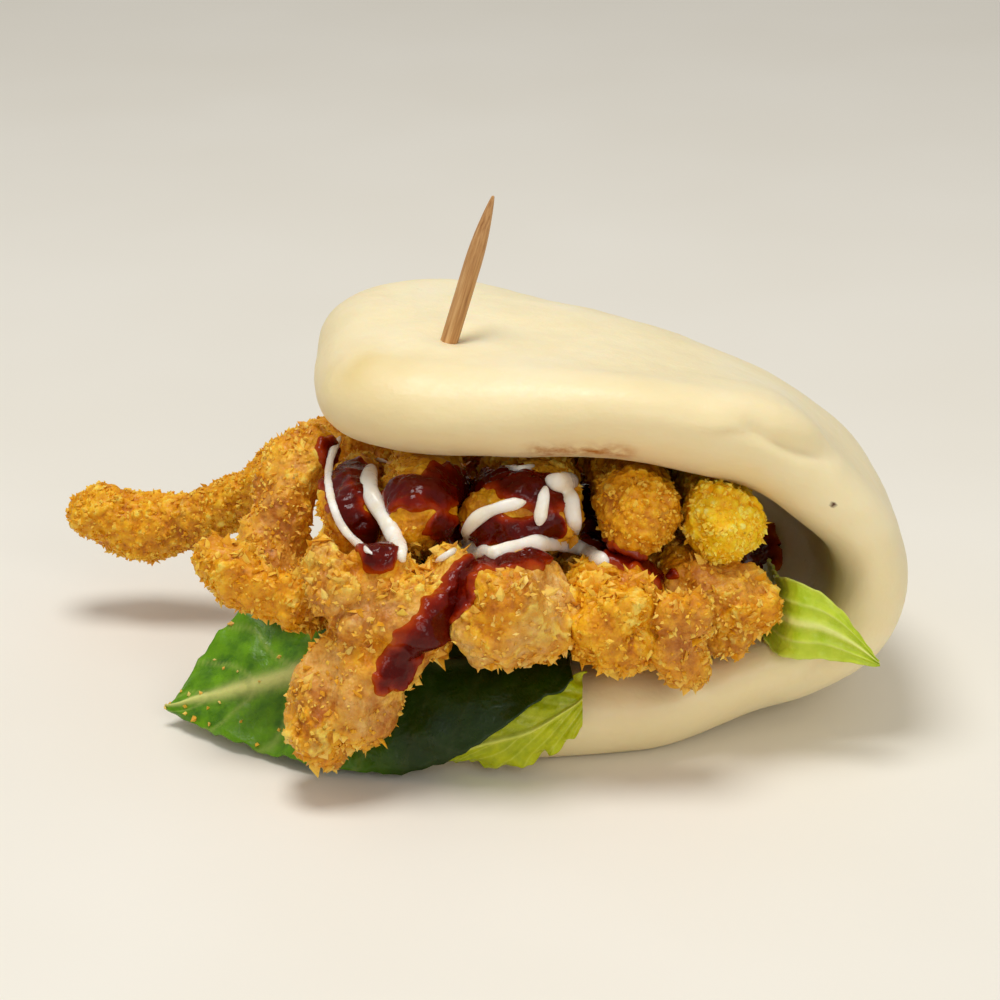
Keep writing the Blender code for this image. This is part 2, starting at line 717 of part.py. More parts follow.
def leaf_surface(grid):
    """A sheet with the leaf's thickness round the net of points, closed along its edge."""
    rows, columns = len(grid), len(grid[0])
    upper, lower = [], []
    for i in range(rows):
        for j in range(columns):
            along = grid[min(i + 1, rows - 1)][j] - grid[max(i - 1, 0)][j]
            across = grid[i][min(j + 1, columns - 1)] - grid[i][max(j - 1, 0)]
            normal = along.cross(across).normalized() * LEAF_HALF_THICKNESS
            upper.append(grid[i][j] + normal)
            lower.append(grid[i][j] - normal)
    points = upper + lower
    below = len(upper)
    faces = []
    for i in range(rows - 1):
        for j in range(columns - 1):
            a = i * columns + j
            b = a + columns
            faces.append((a, a + 1, b + 1, b))
            faces.append((below + a, below + b, below + b + 1, below + a + 1))
    edge = list(range(columns))
    edge += [i * columns + columns - 1 for i in range(1, rows)]
    edge += [(rows - 1) * columns + j for j in range(columns - 2, -1, -1)]
    edge += [i * columns for i in range(rows - 2, 0, -1)]
    for a, b in zip(edge, edge[1:] + edge[:1]):
        faces.append((a, below + a, below + b, b))
    return points, faces


def make_leaves(trees):
    """Leaves laid into the space that is left."""
    for name, lift in LEAF_ORDER:
        grid = leaf_grid(LEAF_ROWS[name])
        flat = [point for row in grid for point in row]
        clear = LEAF_GAP + LEAF_HALF_THICKNESS
        for _ in range(CONTACT_ROUNDS):
            give_way(flat, trees[:1], clear + lift)
            give_way(flat, trees[1:], clear)
        for point in flat:
            point.z = max(point.z, LEAF_HALF_THICKNESS + BODY_GAP)
        colours = DARK_LEAF_LOOK if name == "leaf_dark" else LIGHT_LEAF_LOOK
        points, faces = leaf_surface(grid)
        body(name, points, faces, colours)


# ---------------------------------------------------------------- the whole


def centre_on_surface(things):
    """Moves everything so that the middle of its box lies over the origin, on z = 0."""
    bpy.context.view_layer.update()
    shown = [thing for thing in things if not thing.hide_render]
    corners = [v.co for thing in shown for v in thing.data.vertices]
    middle = [
        (min(c[axis] for c in corners) + max(c[axis] for c in corners)) / 2.0
        for axis in (0, 1)
    ]
    move = Vector((-middle[0], -middle[1], -min(c.z for c in corners)))
    for thing in things:
        thing.location = move


def main():
    clear_scene()
    bun = make_bun()
    make_toothpick()
    cutter = make_pick_cutter()
    pieces, trees = make_fried_pieces(bun)
    make_leaves(trees)
    pierce(bun, cutter)
    pierce(pieces["fried_piece_inner"], cutter)
    centre_on_surface(list(bpy.data.objects))


main()
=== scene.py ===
"""Looks of the folded steamed bun: dough, crumbed fried strips, sauces, salad leaves, toothpick.

Lengths are in millimetres in the plan's own frame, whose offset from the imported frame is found
from the bun's box; `thing_of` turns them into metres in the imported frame.
"""

import itertools
import json
import math

import bmesh
import bpy
import numpy as np
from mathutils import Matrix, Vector, kdtree
from mathutils.bvhtree import BVHTree


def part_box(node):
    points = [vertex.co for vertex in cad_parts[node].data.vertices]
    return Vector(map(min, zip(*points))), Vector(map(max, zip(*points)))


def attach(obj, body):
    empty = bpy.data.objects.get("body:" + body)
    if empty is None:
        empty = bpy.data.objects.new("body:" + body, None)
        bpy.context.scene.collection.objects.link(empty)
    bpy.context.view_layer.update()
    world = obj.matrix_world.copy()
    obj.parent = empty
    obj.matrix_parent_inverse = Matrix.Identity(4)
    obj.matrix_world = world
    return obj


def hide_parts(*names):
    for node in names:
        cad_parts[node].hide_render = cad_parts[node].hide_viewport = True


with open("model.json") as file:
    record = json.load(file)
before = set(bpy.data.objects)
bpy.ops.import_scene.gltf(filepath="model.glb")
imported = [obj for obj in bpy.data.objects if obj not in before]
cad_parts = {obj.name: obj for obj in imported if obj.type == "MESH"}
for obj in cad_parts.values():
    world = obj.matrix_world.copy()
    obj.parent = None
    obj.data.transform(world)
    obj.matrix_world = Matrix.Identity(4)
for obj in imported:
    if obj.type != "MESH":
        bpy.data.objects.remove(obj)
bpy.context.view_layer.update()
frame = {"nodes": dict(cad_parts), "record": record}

MM = 0.001

# ---------------------------------------------------------------- the bun's plan

# The bun is one sheet of dough laid along a line of arcs: each arc's length and turn in degrees.
BUN_ARCS = (
    (60.0, 0.0),
    (16.5, 84.0),
    (14.0, 52.0),
    (12.0, 22.0),
    (16.0, 13.0),
    (24.0, 9.0),
    (12.2, 8.0),
)
BUN_LENGTH = sum(length for length, _ in BUN_ARCS)
BUN_TIP_X = -27.0
BUN_FOLD_AT = 78.0
BUN_MIDDLE_Y = -7.0
LOWER_HALF_THICKNESS = 5.0
FOLD_HALF_THICKNESS = 4.4
UPPER_HALF_THICKNESS = 5.4
LOWER_HALF_WIDTH = 31.0
FOLD_HALF_WIDTH = 24.0
UPPER_HALF_WIDTH = 27.0
LOWER_SHIFT = -2.0
OUTLINE_POWER = 4.2
RIM_DEPTH = 7.0
FAR_DROOP_AT_FOLD = 9.5
FAR_DROOP_AT_TIP = 3.0
FAR_PULL = 12.0
PULL_FROM = -0.35
NEAR_RISE = 4.0
END_LIFT = 5.5
FAR_END_LIFT = 2.5
ROLL_AT = (102.0, -17.0)
ROLL_HEIGHT = 1.7
ROLL_SIZE = 7.0
PRESSED_BY = 0.4
PRESSED_SPAN = (0.0, 6.0)
LOWER_WIDENS = (66.0, 22.0)
UPPER_WIDENS = (80.0, 118.0)
LOWER_THINS = (48.0, 70.0)
UPPER_THICKENS = (86.0, 112.0)
LOWER_SHIFT_FADES = (40.0, 70.0)
PULL_STARTS = (40.0, 76.0)
DROOP_STARTS = (66.0, 92.0)
DROOP_EASES = (108.0, 144.7)
LOW_FOLD_STARTS = (44.0, 64.0)
LOW_FOLD_ENDS = (72.0, 98.0)
SHOULDER_STARTS = (86.0, 104.0)
SHOULDER_ENDS = (112.0, 142.0)
SPINE_STEP = 0.25
RIM_STEPS = 240
BUN_STATIONS = 230
BUN_SIDES = 132

PICK_TIP = Vector((-0.8, -14.0, 63.0))
PICK_AXIS = Vector((-0.278, 0.0, -0.961)).normalized()
PICK_LENGTH = 60.0
PICK_RADIUS = 1.05
PICK_TAPER = 9.0
PICK_POINT = 0.16
PICK_CAP = 0.1
PICK_STEPS = 120
PICK_SIDES = 40

# Rows of points across each leaf: one edge, the middle, the other edge.
LEAF_ROWS = {
    "leaf_dark": (
        ((-40.0, -25.5, 2.0), (-40.0, -25.2, 2.2), (-39.6, -24.6, 2.6)),
        ((-33.0, -31.4, 1.3), (-33.6, -26.6, 4.4), (-35.4, -20.8, 7.8)),
        ((-26.0, -36.4, 1.2), (-28.0, -27.6, 6.4), (-31.0, -19.0, 12.4)),
        ((-20.0, -39.4, 1.2), (-22.4, -29.6, 8.8), (-25.0, -17.8, 12.6)),
        ((-11.0, -41.0, 1.2), (-14.0, -33.0, 11.8), (-17.0, -17.0, 12.4)),
        ((-3.0, -42.6, 5.2), (-5.0, -35.0, 12.4), (-8.0, -19.0, 12.4)),
        ((4.0, -41.4, 10.2), (2.0, -34.0, 12.6), (1.0, -22.0, 12.4)),
        ((8.6, -38.6, 12.0), (8.0, -33.0, 12.6), (8.0, -26.0, 12.4)),
    ),
    "leaf_frill": (
        ((-6.4, -38.6, 1.4), (-6.2, -39.2, 3.2), (-6.0, -39.4, 4.8)),
        ((-3.8, -38.8, 1.4), (-3.6, -39.4, 4.0), (-3.4, -39.2, 6.6)),
        ((-0.6, -39.2, 1.5), (-0.4, -39.6, 5.0), (-0.2, -38.6, 8.8)),
        ((3.4, -39.4, 2.0), (3.8, -39.4, 6.2), (4.2, -37.8, 10.2)),
        ((7.4, -40.2, 4.6), (7.6, -39.0, 8.2), (7.8, -36.6, 11.2)),
        ((9.6, -39.6, 6.6), (9.6, -38.0, 9.2), (9.4, -34.6, 11.2)),
    ),
    "leaf_back": (
        ((-21.0, -9.0, 11.8), (-22.0, 1.0, 12.0), (-20.6, 10.0, 12.2)),
        ((-14.0, -10.0, 11.8), (-15.0, 7.0, 12.0), (-15.6, 19.0, 11.4)),
        ((-6.0, -9.0, 11.8), (-6.6, 9.0, 12.0), (-7.0, 24.2, 10.0)),
        ((2.0, -9.0, 11.8), (1.8, 10.0, 12.0), (1.6, 25.4, 8.6)),
        ((10.0, -8.0, 11.8), (10.4, 10.0, 12.0), (10.8, 23.8, 10.2)),
        ((18.0, -6.0, 11.8), (18.4, 8.0, 12.2), (19.6, 20.6, 12.6)),
        ((24.0, -3.0, 12.0), (25.2, 5.0, 12.6), (26.6, 13.4, 13.2)),
    ),
    "leaf_light": (
        ((44.4, -35.4, 12.4), (44.3, -35.3, 12.7), (44.0, -35.1, 13.1)),
        ((41.2, -35.2, 12.8), (41.5, -34.9, 14.9), (41.4, -34.2, 16.8)),
        ((37.4, -34.6, 13.0), (37.8, -34.4, 16.8), (37.8, -33.0, 20.4)),
        ((33.8, -33.8, 12.8), (34.4, -33.4, 17.2), (34.2, -31.4, 21.6)),
        ((31.4, -29.2, 12.4), (32.6, -28.0, 16.2), (32.8, -26.0, 19.6)),
        ((30.4, -22.0, 12.2), (32.2, -20.6, 14.6), (32.8, -19.0, 17.4)),
        ((29.6, -12.0, 12.0), (31.6, -11.4, 13.8), (32.8, -11.0, 16.0)),
    ),
}

# ---------------------------------------------------------------- line of sight

EYE = Vector((0.0, -458.0, 205.6))
# Strokes of sauce are laid out on an upright plane here, then cast along the line of sight.
FRONT_Y = -40.0

# ---------------------------------------------------------------- small tools

NOISE_GAIN = 1.6  # brings the noise to about -1 to 1


def smooth_step(value, span):
    start, end = span
    share = np.clip((value - start) / (end - start), 0.0, 1.0)
    return share * share * (3.0 - 2.0 * share)


def mix(first, second, share):
    return first + (second - first) * share


def bell(distance, size):
    """1 at no distance, fading smoothly to 0 past the size."""
    return np.exp(-((distance / size) ** 2))


def tint(red, green, blue):
    """A linear colour from the usual 0 to 255 values of a screen colour."""
    shares = np.array((red, green, blue)) / 255.0
    linear = np.where(shares <= 0.04045, shares / 12.92, ((shares + 0.055) / 1.055) ** 2.4)
    return (*linear.tolist(), 1.0)


def lattice(corners, seed):
    """A steady number from 0 to 1 for each whole-numbered corner of a grid."""
    n = corners[:, 0] * 73856093 ^ corners[:, 1] * 19349663 ^ corners[:, 2] * 83492791
    n = (n ^ (seed * 7919 + 104729)) & 0x7FFFFFFF
    n = ((n ^ (n >> 13)) * 1274126177) & 0x7FFFFFFF
    n = ((n ^ (n >> 15)) * 668265263) & 0x7FFFFFFF
    return ((n ^ (n >> 14)) & 0xFFFFF) / float(0xFFFFF)


def triple(corners, seed):
    return np.stack([lattice(corners, seed + k) for k in range(3)], axis=1)


def soft_noise(points, size, seed):
    """Smooth noise of about -1 to 1 whose features are about `size` millimetres."""
    place = points / size
    base = np.floor(place).astype(np.int64)
    part = place - base
    ease = part**3 * (part * (part * 6.0 - 15.0) + 10.0)
    total = np.zeros(len(points))
    for corner in itertools.product((0, 1), repeat=3):
        corner = np.array(corner)
        weight = np.prod(np.where(corner, ease, 1.0 - ease), axis=1)
        at = base + corner
        slope = triple(at, seed * 3) * 2.0 - 1.0
        total += weight * np.sum(slope * (part - corner), axis=1)
    return total * NOISE_GAIN


def layered(points, *layers):
    """Soft noises added up, each given as its height, size and seed."""
    return sum(height * soft_noise(points, size, seed) for height, size, seed in layers)


def grains(points, size, seed):
    """Cells of about `size`: distance to the nearest middle, that cell's number and its slope."""
    place = points / size
    base = np.floor(place).astype(np.int64)
    nearest = np.full(len(points), 9.0)
    number = np.zeros(len(points))
    tilt = np.zeros(len(points))
    for step in itertools.product((-1, 0, 1), repeat=3):
        at = base + np.array(step)
        away = place - (at + triple(at, seed * 5))
        distance = np.sqrt(np.sum(away * away, axis=1))
        slope = triple(at, seed * 5 + 4) * 2.0 - 1.0
        nearer = distance < nearest
        number = np.where(nearer, lattice(at, seed * 5 + 3), number)
        tilt = np.where(nearer, np.sum(slope * away, axis=1), tilt)
        nearest = np.where(nearer, distance, nearest)
    return nearest, number, tilt


def read(mesh, field):
    """The "co" or "normal" of a mesh's points as rows."""
    values = np.empty(len(mesh.vertices) * 3)
    mesh.vertices.foreach_get(field, values)
    return values.reshape(-1, 3)


def mesh_arrays(mesh):
    """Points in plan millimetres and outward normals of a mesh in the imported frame."""
    return read(mesh, "co") / MM - SHIFT, read(mesh, "normal")


def set_points(mesh, points):
    mesh.vertices.foreach_set("co", ((points + SHIFT) * MM).astype(np.float32).ravel())
    mesh.update()


def set_colours(mesh, name, channels):
    """Stores up to three numbers per point as a colour attribute."""
    layer = mesh.color_attributes.new(name, "FLOAT_COLOR", "POINT")
    values = np.ones((len(mesh.vertices), 4), np.float32)
    for k, channel in enumerate(channels):
        values[:, k] = np.clip(channel, 0.0, 1.0)
    layer.data.foreach_set("color", values.ravel())


def face_outward(mesh):
    grid = bmesh.new()
    grid.from_mesh(mesh)
    bmesh.ops.recalc_face_normals(grid, faces=grid.faces)
    grid.to_mesh(mesh)
    grid.free()


def thing_of(name, points, faces, material):
    """A smooth-shaded object from points in plan millimetres."""
    mesh = bpy.data.meshes.new(name)
    placed = (np.asarray(points, float) + SHIFT) * MM
    mesh.from_pydata(placed.tolist(), [], faces)
    face_outward(mesh)
    mesh.shade_smooth()
    mesh.materials.append(material)
    thing = bpy.data.objects.new(name, mesh)
    bpy.context.scene.collection.objects.link(thing)
    return thing


def applied(thing):
    """The object's mesh with its modifiers applied."""
    graph = bpy.context.evaluated_depsgraph_get()
    graph.update()
    mesh = bpy.data.meshes.new_from_object(thing.evaluated_get(graph))
    thing.modifiers.clear()
    old = thing.data
    thing.data = mesh
    bpy.data.meshes.remove(old)
    return mesh


def remeshed(thing, voxel, smoothing):
    """Rebuilds the object as an even net of small faces and rounds off its facets."""
    net = thing.modifiers.new("net", "REMESH")
    net.mode = "VOXEL"
    net.voxel_size = voxel * MM
    soft = thing.modifiers.new("soft", "SMOOTH")
    soft.factor = 0.5
    soft.iterations = smoothing
    applied(thing).shade_smooth()


def drop_scraps(thing, least):
    """Deletes the loose islands of a mesh that have fewer points than the least."""
    shape = bmesh.new()
    shape.from_mesh(thing.data)
    seen, scraps = set(), []
    for first in shape.verts:
        if first in seen:
            continue
        seen.add(first)
        island = [first]
        for vert in island:
            for edge in vert.link_edges:
                other = edge.other_vert(vert)
                if other not in seen:
                    seen.add(other)
                    island.append(other)
        if len(island) < least:
            scraps += island
    bmesh.ops.delete(shape, geom=scraps, context="VERTS")
    shape.to_mesh(thing.data)
    shape.free()


def keep(thing, slot, *nodes):
    """Ties a piece to the part: what it moves with and the CAD nodes it stands for; the slot is not
    used.
    """
    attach(thing, "root")
    if nodes:
        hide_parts(*nodes)
    return thing


def nearest_on_line(points, line):
    """Distance of each point from a line of points, and how far along it (0 to 1) that is."""
    best = np.full(len(points), 1e9)
    place = np.zeros(len(points))
    count = len(line) - 1
    for i in range(count):
        start, run = line[i], line[i + 1] - line[i]
        share = np.clip(((points - start) @ run) / max(run @ run, 1e-9), 0.0, 1.0)
        distance = np.linalg.norm(points - start - share[:, None] * run, axis=1)
        closer = distance < best
        best = np.where(closer, distance, best)
        place = np.where(closer, (i + share) / count, place)
    return best, place


# ---------------------------------------------------------------- materials


class Recipe:
    """A material's nodes, with short calls for the few kinds used here; sizes in millimetres."""

    def __init__(self, name, subsurface=0.0, radius=(1.0, 0.5, 0.25), depth=1.0, gloss=0.5):
        self.material = bpy.data.materials.new(name)
        self.material.use_nodes = True
        self.tree = self.material.node_tree
        self.shader = self.tree.nodes["Principled BSDF"]
        self.set("Subsurface Weight", subsurface)
        self.set("Subsurface Radius", radius)
        self.set("Subsurface Scale", depth * MM)
        self.set("Specular IOR Level", gloss)
        self.normal = None

    def set(self, socket, value):
        self.shader.inputs[socket].default_value = value

    def node(self, kind, **settings):
        made = self.tree.nodes.new(kind)
        for name, value in settings.items():
            setattr(made, name, value)
        return made

    def link(self, source, target):
        self.tree.links.new(source, target)

    def texture(self, kind, size, vector=None, **settings):
        """A noise or cell texture whose features are about `size`."""
        made = self.node("ShaderNodeTex" + kind, **settings)
        made.inputs["Scale"].default_value = 1.0 / (size * MM)
        source = vector or self.node("ShaderNodeTexCoord").outputs["Object"]
        self.link(source, made.inputs["Vector"])
        return made

    def noise(self, size, detail=3.0, roughness=0.55, vector=None):
        made = self.texture("Noise", size, vector)
        made.inputs["Detail"].default_value = detail
        made.inputs["Roughness"].default_value = roughness
        return made.outputs["Fac"]

    def cells(self, size, feature="F1"):
        return self.texture("Voronoi", size, feature=feature).outputs["Distance"]

    def stretched(self, vector, scale):
        made = self.node("ShaderNodeMapping")
        made.inputs["Scale"].default_value = scale
        self.link(vector, made.inputs["Vector"])
        return made.outputs["Vector"]

    def attribute(self, name):
        source = self.node("ShaderNodeAttribute", attribute_name=name)
        parts = self.node("ShaderNodeSeparateColor")
        self.link(source.outputs["Color"], parts.inputs["Color"])
        return [parts.outputs[k] for k in ("Red", "Green", "Blue")]

    def fill(self, socket, value):
        """Sets a socket to a plain value, or links it to another socket."""
        if isinstance(value, (tuple, float)):
            socket.default_value = value
        else:
            self.link(value, socket)

    def math(self, operation, first, second):
        made = self.node("ShaderNodeMath", operation=operation)
        self.fill(made.inputs[0], first)
        self.fill(made.inputs[1], second)
        return made.outputs["Value"]

    def times(self, first, second):
        return self.math("MULTIPLY", first, second)

    def total(self, *terms):
        """The sum of sources, each times its share."""
        parts = [self.times(source, share) for source, share in terms]
        for part in parts[1:]:
            parts[0] = self.math("ADD", parts[0], part)
        return parts[0]

    def ramp(self, source, *stops):
        """A colour ramp; each stop is its place and a screen colour's red, green and blue."""
        made = self.node("ShaderNodeValToRGB")
        bar = made.color_ramp
        while len(bar.elements) < len(stops):
            bar.elements.new(0.5)
        for element, (place, *colour) in zip(bar.elements, stops):
            element.position = place
            element.color = tint(*colour)
        self.link(source, made.inputs["Fac"])
        return made.outputs["Color"]

    def range(self, source, low, high, to_low=0.0, to_high=1.0):
        made = self.node("ShaderNodeMapRange")
        for socket, value in zip(made.inputs[1:5], (low, high, to_low, to_high)):
            socket.default_value = value
        self.link(source, made.inputs["Value"])
        return made.outputs["Result"]

    def blend(self, share, first, second):
        made = self.node("ShaderNodeMix", data_type="RGBA", blend_type="MIX")
        for number, value in ((0, share), (6, first), (7, second)):
            self.fill(made.inputs[number], value)
        return made.outputs[2]

    def colour(self, source):
        self.link(source, self.shader.inputs["Base Color"])

    def shine(self, pattern, smoothest, roughest, start=0.3):
        """Lets the roughness follow a pattern between two values."""
        spread = self.range(pattern, start, 0.7, smoothest, roughest)
        self.link(spread, self.shader.inputs["Roughness"])

    def relief(self, source, height):
        """Adds bump whose full height is `height`."""
        bump = self.node("ShaderNodeBump")
        bump.inputs["Distance"].default_value = height * MM
        bump.inputs["Strength"].default_value = 1.0
        self.link(source, bump.inputs["Height"])
        if self.normal:
            self.link(self.normal, bump.inputs["Normal"])
        self.normal = bump.outputs["Normal"]

    def done(self):
        if self.normal:
            self.link(self.normal, self.shader.inputs["Normal"])
        return self.material


def dough_material():
    """Steamed dough: cream, satin, a little see-through, with a fine skin."""
    r = Recipe("dough", 0.35, (2.6, 1.7, 0.9), gloss=0.42)
    stain, tone_and_rim_shade, speck = r.attribute("dough")
    tone = r.noise(14.0, 4.0)
    base = r.ramp(tone, (0.3, 241, 223, 175), (0.55, 246, 230, 186), (0.75, 248, 234, 198))
    # The second channel darkens and yellows the dough: painted shade along the sheet's rounded rim,
    # plus the dough's own yellowish patch and uneven tone.
    base = r.blend(tone_and_rim_shade, base, tint(231, 207, 146))
    flecks = r.range(r.cells(2.6), 0.03, 0.12, 1.0, 0.0)
    sparse = r.range(r.noise(9.0, 1.0), 0.6, 0.68)
    base = r.blend(r.times(r.times(flecks, sparse), 0.35), base, tint(206, 176, 112))
    wet = r.times(stain, r.range(r.noise(1.6), 0.3, 0.62))
    base = r.blend(wet, base, tint(186, 116, 34))
    base = r.blend(r.range(speck, 0.4, 0.7), base, tint(84, 44, 10))
    r.colour(base)
    r.shine(r.noise(1.2, 4.0), 0.36, 0.52)
    r.relief(r.noise(3.2, 2.0), 0.16)
    r.relief(r.noise(0.55), 0.035)
    return r.done()


# Crust colours from the hollows to the tips of the grains, and where on the ramp they stand; the
# dark end is partly painted shade in the hollows, the light end partly painted light on the tips.
CRUST_COLOURS = {
    "golden": ((158, 78, 0), (222, 142, 4), (246, 182, 26), (252, 216, 92)),
    "yellow": ((240, 150, 0), (255, 194, 4), (255, 214, 30), (255, 238, 120)),
}
CRUST_PLACES = (0.3, 0.55, 0.85, 1.0)


def crust_material(look):
    """Fried crumb: darker in its hollows by painted shade, golden and lighter on its grains by
    painted light, pale where the batter is thin.
    """
    r = Recipe("crust_" + look, 0.22, (1.6, 0.8, 0.25), gloss=0.3)
    height, pallor, scorch = r.attribute("crumb")
    speckle = r.noise(0.9, 4.0, 0.6)
    # The crumb's height paints shade into the hollows and light onto the tips; the noises add the
    # crust's own uneven tone.
    level = r.total((height, 0.7), (speckle, 0.6), (r.noise(5.0, 2.0), 0.3))
    stops = [(place, *colour) for place, colour in zip(CRUST_PLACES, CRUST_COLOURS[look])]
    base = r.ramp(level, *stops)
    batter = r.noise(1.5, 4.0)
    thin = r.ramp(batter, (0.3, 196, 138, 56), (0.55, 222, 176, 96), (0.75, 238, 206, 142))
    base = r.blend(r.times(pallor, r.range(speckle, 0.25, 0.6, 0.55, 1.0)), base, thin)
    burnt = r.times(scorch, r.range(r.noise(1.3), 0.35, 0.6))
    base = r.blend(burnt, base, tint(168, 84, 6))
    dots = r.range(r.cells(1.5), 0.06, 0.16, 1.0, 0.0)
    spots = r.times(dots, r.range(r.noise(4.0), 0.5, 0.62))
    base = r.blend(r.times(spots, 0.65), base, tint(88, 52, 22))
    r.colour(base)
    r.shine(r.noise(0.8, 2.0), 0.3, 0.62)
    r.relief(r.range(r.cells(0.55), 0.0, 0.6, 1.0, 0.0), 0.12)
    r.relief(speckle, 0.16)
    return r.done()


def crumb_material():
    """Loose crumbs: each grain has its own shade."""
    r = Recipe("crumbs", 0.2, (1.2, 0.6, 0.2), gloss=0.3)
    own, yellow, pale = r.attribute("crumb")
    level = r.total((own, 0.7), (r.noise(0.7), 0.4))
    base = r.ramp(level, (0.15, 214, 132, 4), (0.5, 236, 164, 18), (0.9, 250, 204, 76))
    base = r.blend(yellow, base, r.ramp(level, (0.2, 255, 184, 4), (0.9, 255, 230, 90)))
    base = r.blend(pale, base, r.ramp(level, (0.2, 220, 164, 64), (0.9, 248, 214, 132)))
    r.colour(base)
    r.shine(r.noise(0.6), 0.32, 0.6)
    r.relief(r.noise(0.3), 0.06)
    return r.done()


def sauce_material():
    """Dark sticky sauce: nearly black where thick, red-brown where thin."""
    r = Recipe("sauce", 0.1, (1.2, 0.2, 0.1), gloss=0.2)
    thick = r.attribute("film")[0]
    level = r.total((thick, 0.7), (r.noise(2.2), 0.5))
    r.colour(
        r.ramp(level, (0.25, 196, 104, 12), (0.5, 166, 56, 2), (0.75, 126, 22, 0), (0.95, 82, 6, 0))
    )
    r.shine(r.noise(1.1), 0.08, 0.24, start=0.35)
    r.relief(r.noise(0.8, 2.0), 0.12)
    return r.done()


def mayo_material():
    """Thick mayo: warm white and satin."""
    r = Recipe("mayo", 0.4, (1.4, 1.1, 0.8))
    r.colour(r.ramp(r.noise(2.4), (0.3, 247, 232, 205), (0.6, 255, 247, 234)))
    r.shine(r.noise(1.5), 0.22, 0.4)
    r.relief(r.noise(0.9, 2.0), 0.06)
    return r.done()


def leaf_material(name, blade, light, rib):
    """Fresh leaf: blade colour between pale ribs, glossy."""
    r = Recipe(name, 0.12, (0.5, 0.9, 0.2), depth=0.8, gloss=0.3)
    vein, paleness, painted_shade = r.attribute("leaf")
    mottled = r.noise(2.2, 5.0, 0.6)
    base = r.ramp(mottled, (0.3, *blade), (0.7, *light))
    base = r.blend(paleness, base, tint(*light))
    base = r.blend(r.times(vein, r.range(mottled, 0.2, 0.5, 0.6, 1.0)), base, tint(*rib))
    # Painted shade: the dark leaf is painted nearly black-green where it runs in under the fried
    # pieces and the bun.
    base = r.blend(r.times(painted_shade, 0.92), base, tint(14, 28, 0))
    r.colour(base)
    r.shine(r.noise(1.8), 0.24, 0.46)
    r.relief(r.noise(0.8), 0.1)
    r.relief(r.cells(1.1, "DISTANCE_TO_EDGE"), 0.08)
    return r.done()


def wood_material():
    """Pale wood with fibres that run along the pick."""
    r = Recipe("pick_wood")
    place = r.node("ShaderNodeAttribute", attribute_name="fibre").outputs["Vector"]
    fibre = r.noise(0.22, 5.0, 0.65, r.stretched(place, (1.0, 1.0, 0.03)))
    bands = r.noise(0.7, 2.0, vector=r.stretched(place, (1.0, 1.0, 0.12)))
    level = r.total((fibre, 0.7), (bands, 0.3))
    stops = ((0.32, 140, 88, 42), (0.48, 190, 138, 82), (0.62, 214, 168, 112), (0.8, 228, 190, 140))
    r.colour(r.ramp(level, *stops))
    r.shine(fibre, 0.45, 0.7)
    r.relief(fibre, 0.08)
    return r.done()


def floor_material():
    r = Recipe("floor")
    r.set("Roughness", 0.6)
    r.colour(r.ramp(r.noise(60.0, 2.0), (0.2, 240, 234, 220), (0.8, 245, 240, 228)))
    return r.done()


# ---------------------------------------------------------------- bun


def spine_table():
    """Places (x, z) and heading along the middle line of the folded sheet."""
    x, z, heading = BUN_TIP_X, LOWER_HALF_THICKNESS, 0.0
    table = [(x, z, heading)]
    for length, turn in BUN_ARCS:
        count = round(length / SPINE_STEP)
        for _ in range(count):
            heading += math.radians(turn) / count
            x += math.cos(heading) * length / count
            z += math.sin(heading) * length / count
            table.append((x, z, heading))
    return np.array(table)


def half_width(along):
    width = mix(FOLD_HALF_WIDTH, LOWER_HALF_WIDTH, smooth_step(along, LOWER_WIDENS))
    return mix(width, UPPER_HALF_WIDTH, smooth_step(along, UPPER_WIDENS))


def outline(along):
    """Half the sheet's width at each place along it, down to nothing at both tips."""
    reach = np.where(along < BUN_FOLD_AT, BUN_FOLD_AT, BUN_LENGTH - BUN_FOLD_AT)
    share = np.clip(np.abs(along - BUN_FOLD_AT) / reach, 0.0, 1.0)
    return half_width(along) * (1.0 - share**OUTLINE_POWER) ** (1.0 / OUTLINE_POWER)


def spaced_along(steps, count):
    return BUN_LENGTH * 0.5 * (1.0 - np.cos(np.pi * steps / count))


def rim_distance(along, across):
    """How far each point of the sheet lies inside its outline."""
    places = spaced_along(np.arange(RIM_STEPS + 1), RIM_STEPS)
    rim = np.stack([places, outline(places), np.zeros_like(places)], axis=1)
    points = np.stack([along, np.abs(across), np.zeros_like(along)], axis=1)
    return nearest_on_line(points, rim)[0]


def half_thickness(along):
    thickness = mix(LOWER_HALF_THICKNESS, FOLD_HALF_THICKNESS, smooth_step(along, LOWER_THINS))
    return mix(thickness, UPPER_HALF_THICKNESS, smooth_step(along, UPPER_THICKENS))


def sag(along, share):
    """How far the far side hangs down."""
    far = np.maximum(share, 0.0) ** 2 * smooth_step(along, DROOP_STARTS)
    return mix(FAR_DROOP_AT_FOLD, FAR_DROOP_AT_TIP, smooth_step(along, DROOP_EASES)) * far


def draw_back(along, share):
    """How far the far side of the fold is drawn in over the filling."""
    span = smooth_step(along, PULL_STARTS) - smooth_step(along, DROOP_EASES)
    reach = np.maximum((share - PULL_FROM) / (1.0 - PULL_FROM), 0.0)
    return FAR_PULL * span * reach**2


def rise(along, share):
    """How far the sheet's edges turn up beside the fold and at the shoulder."""
    at_low_fold = smooth_step(along, LOW_FOLD_STARTS) - smooth_step(along, LOW_FOLD_ENDS)
    at_shoulder = smooth_step(along, SHOULDER_STARTS) - smooth_step(along, SHOULDER_ENDS)
    lift = np.where(share < 0.0, END_LIFT, FAR_END_LIFT) * at_low_fold * share**2
    return lift + NEAR_RISE * at_shoulder * np.minimum(share, 0.0) ** 2


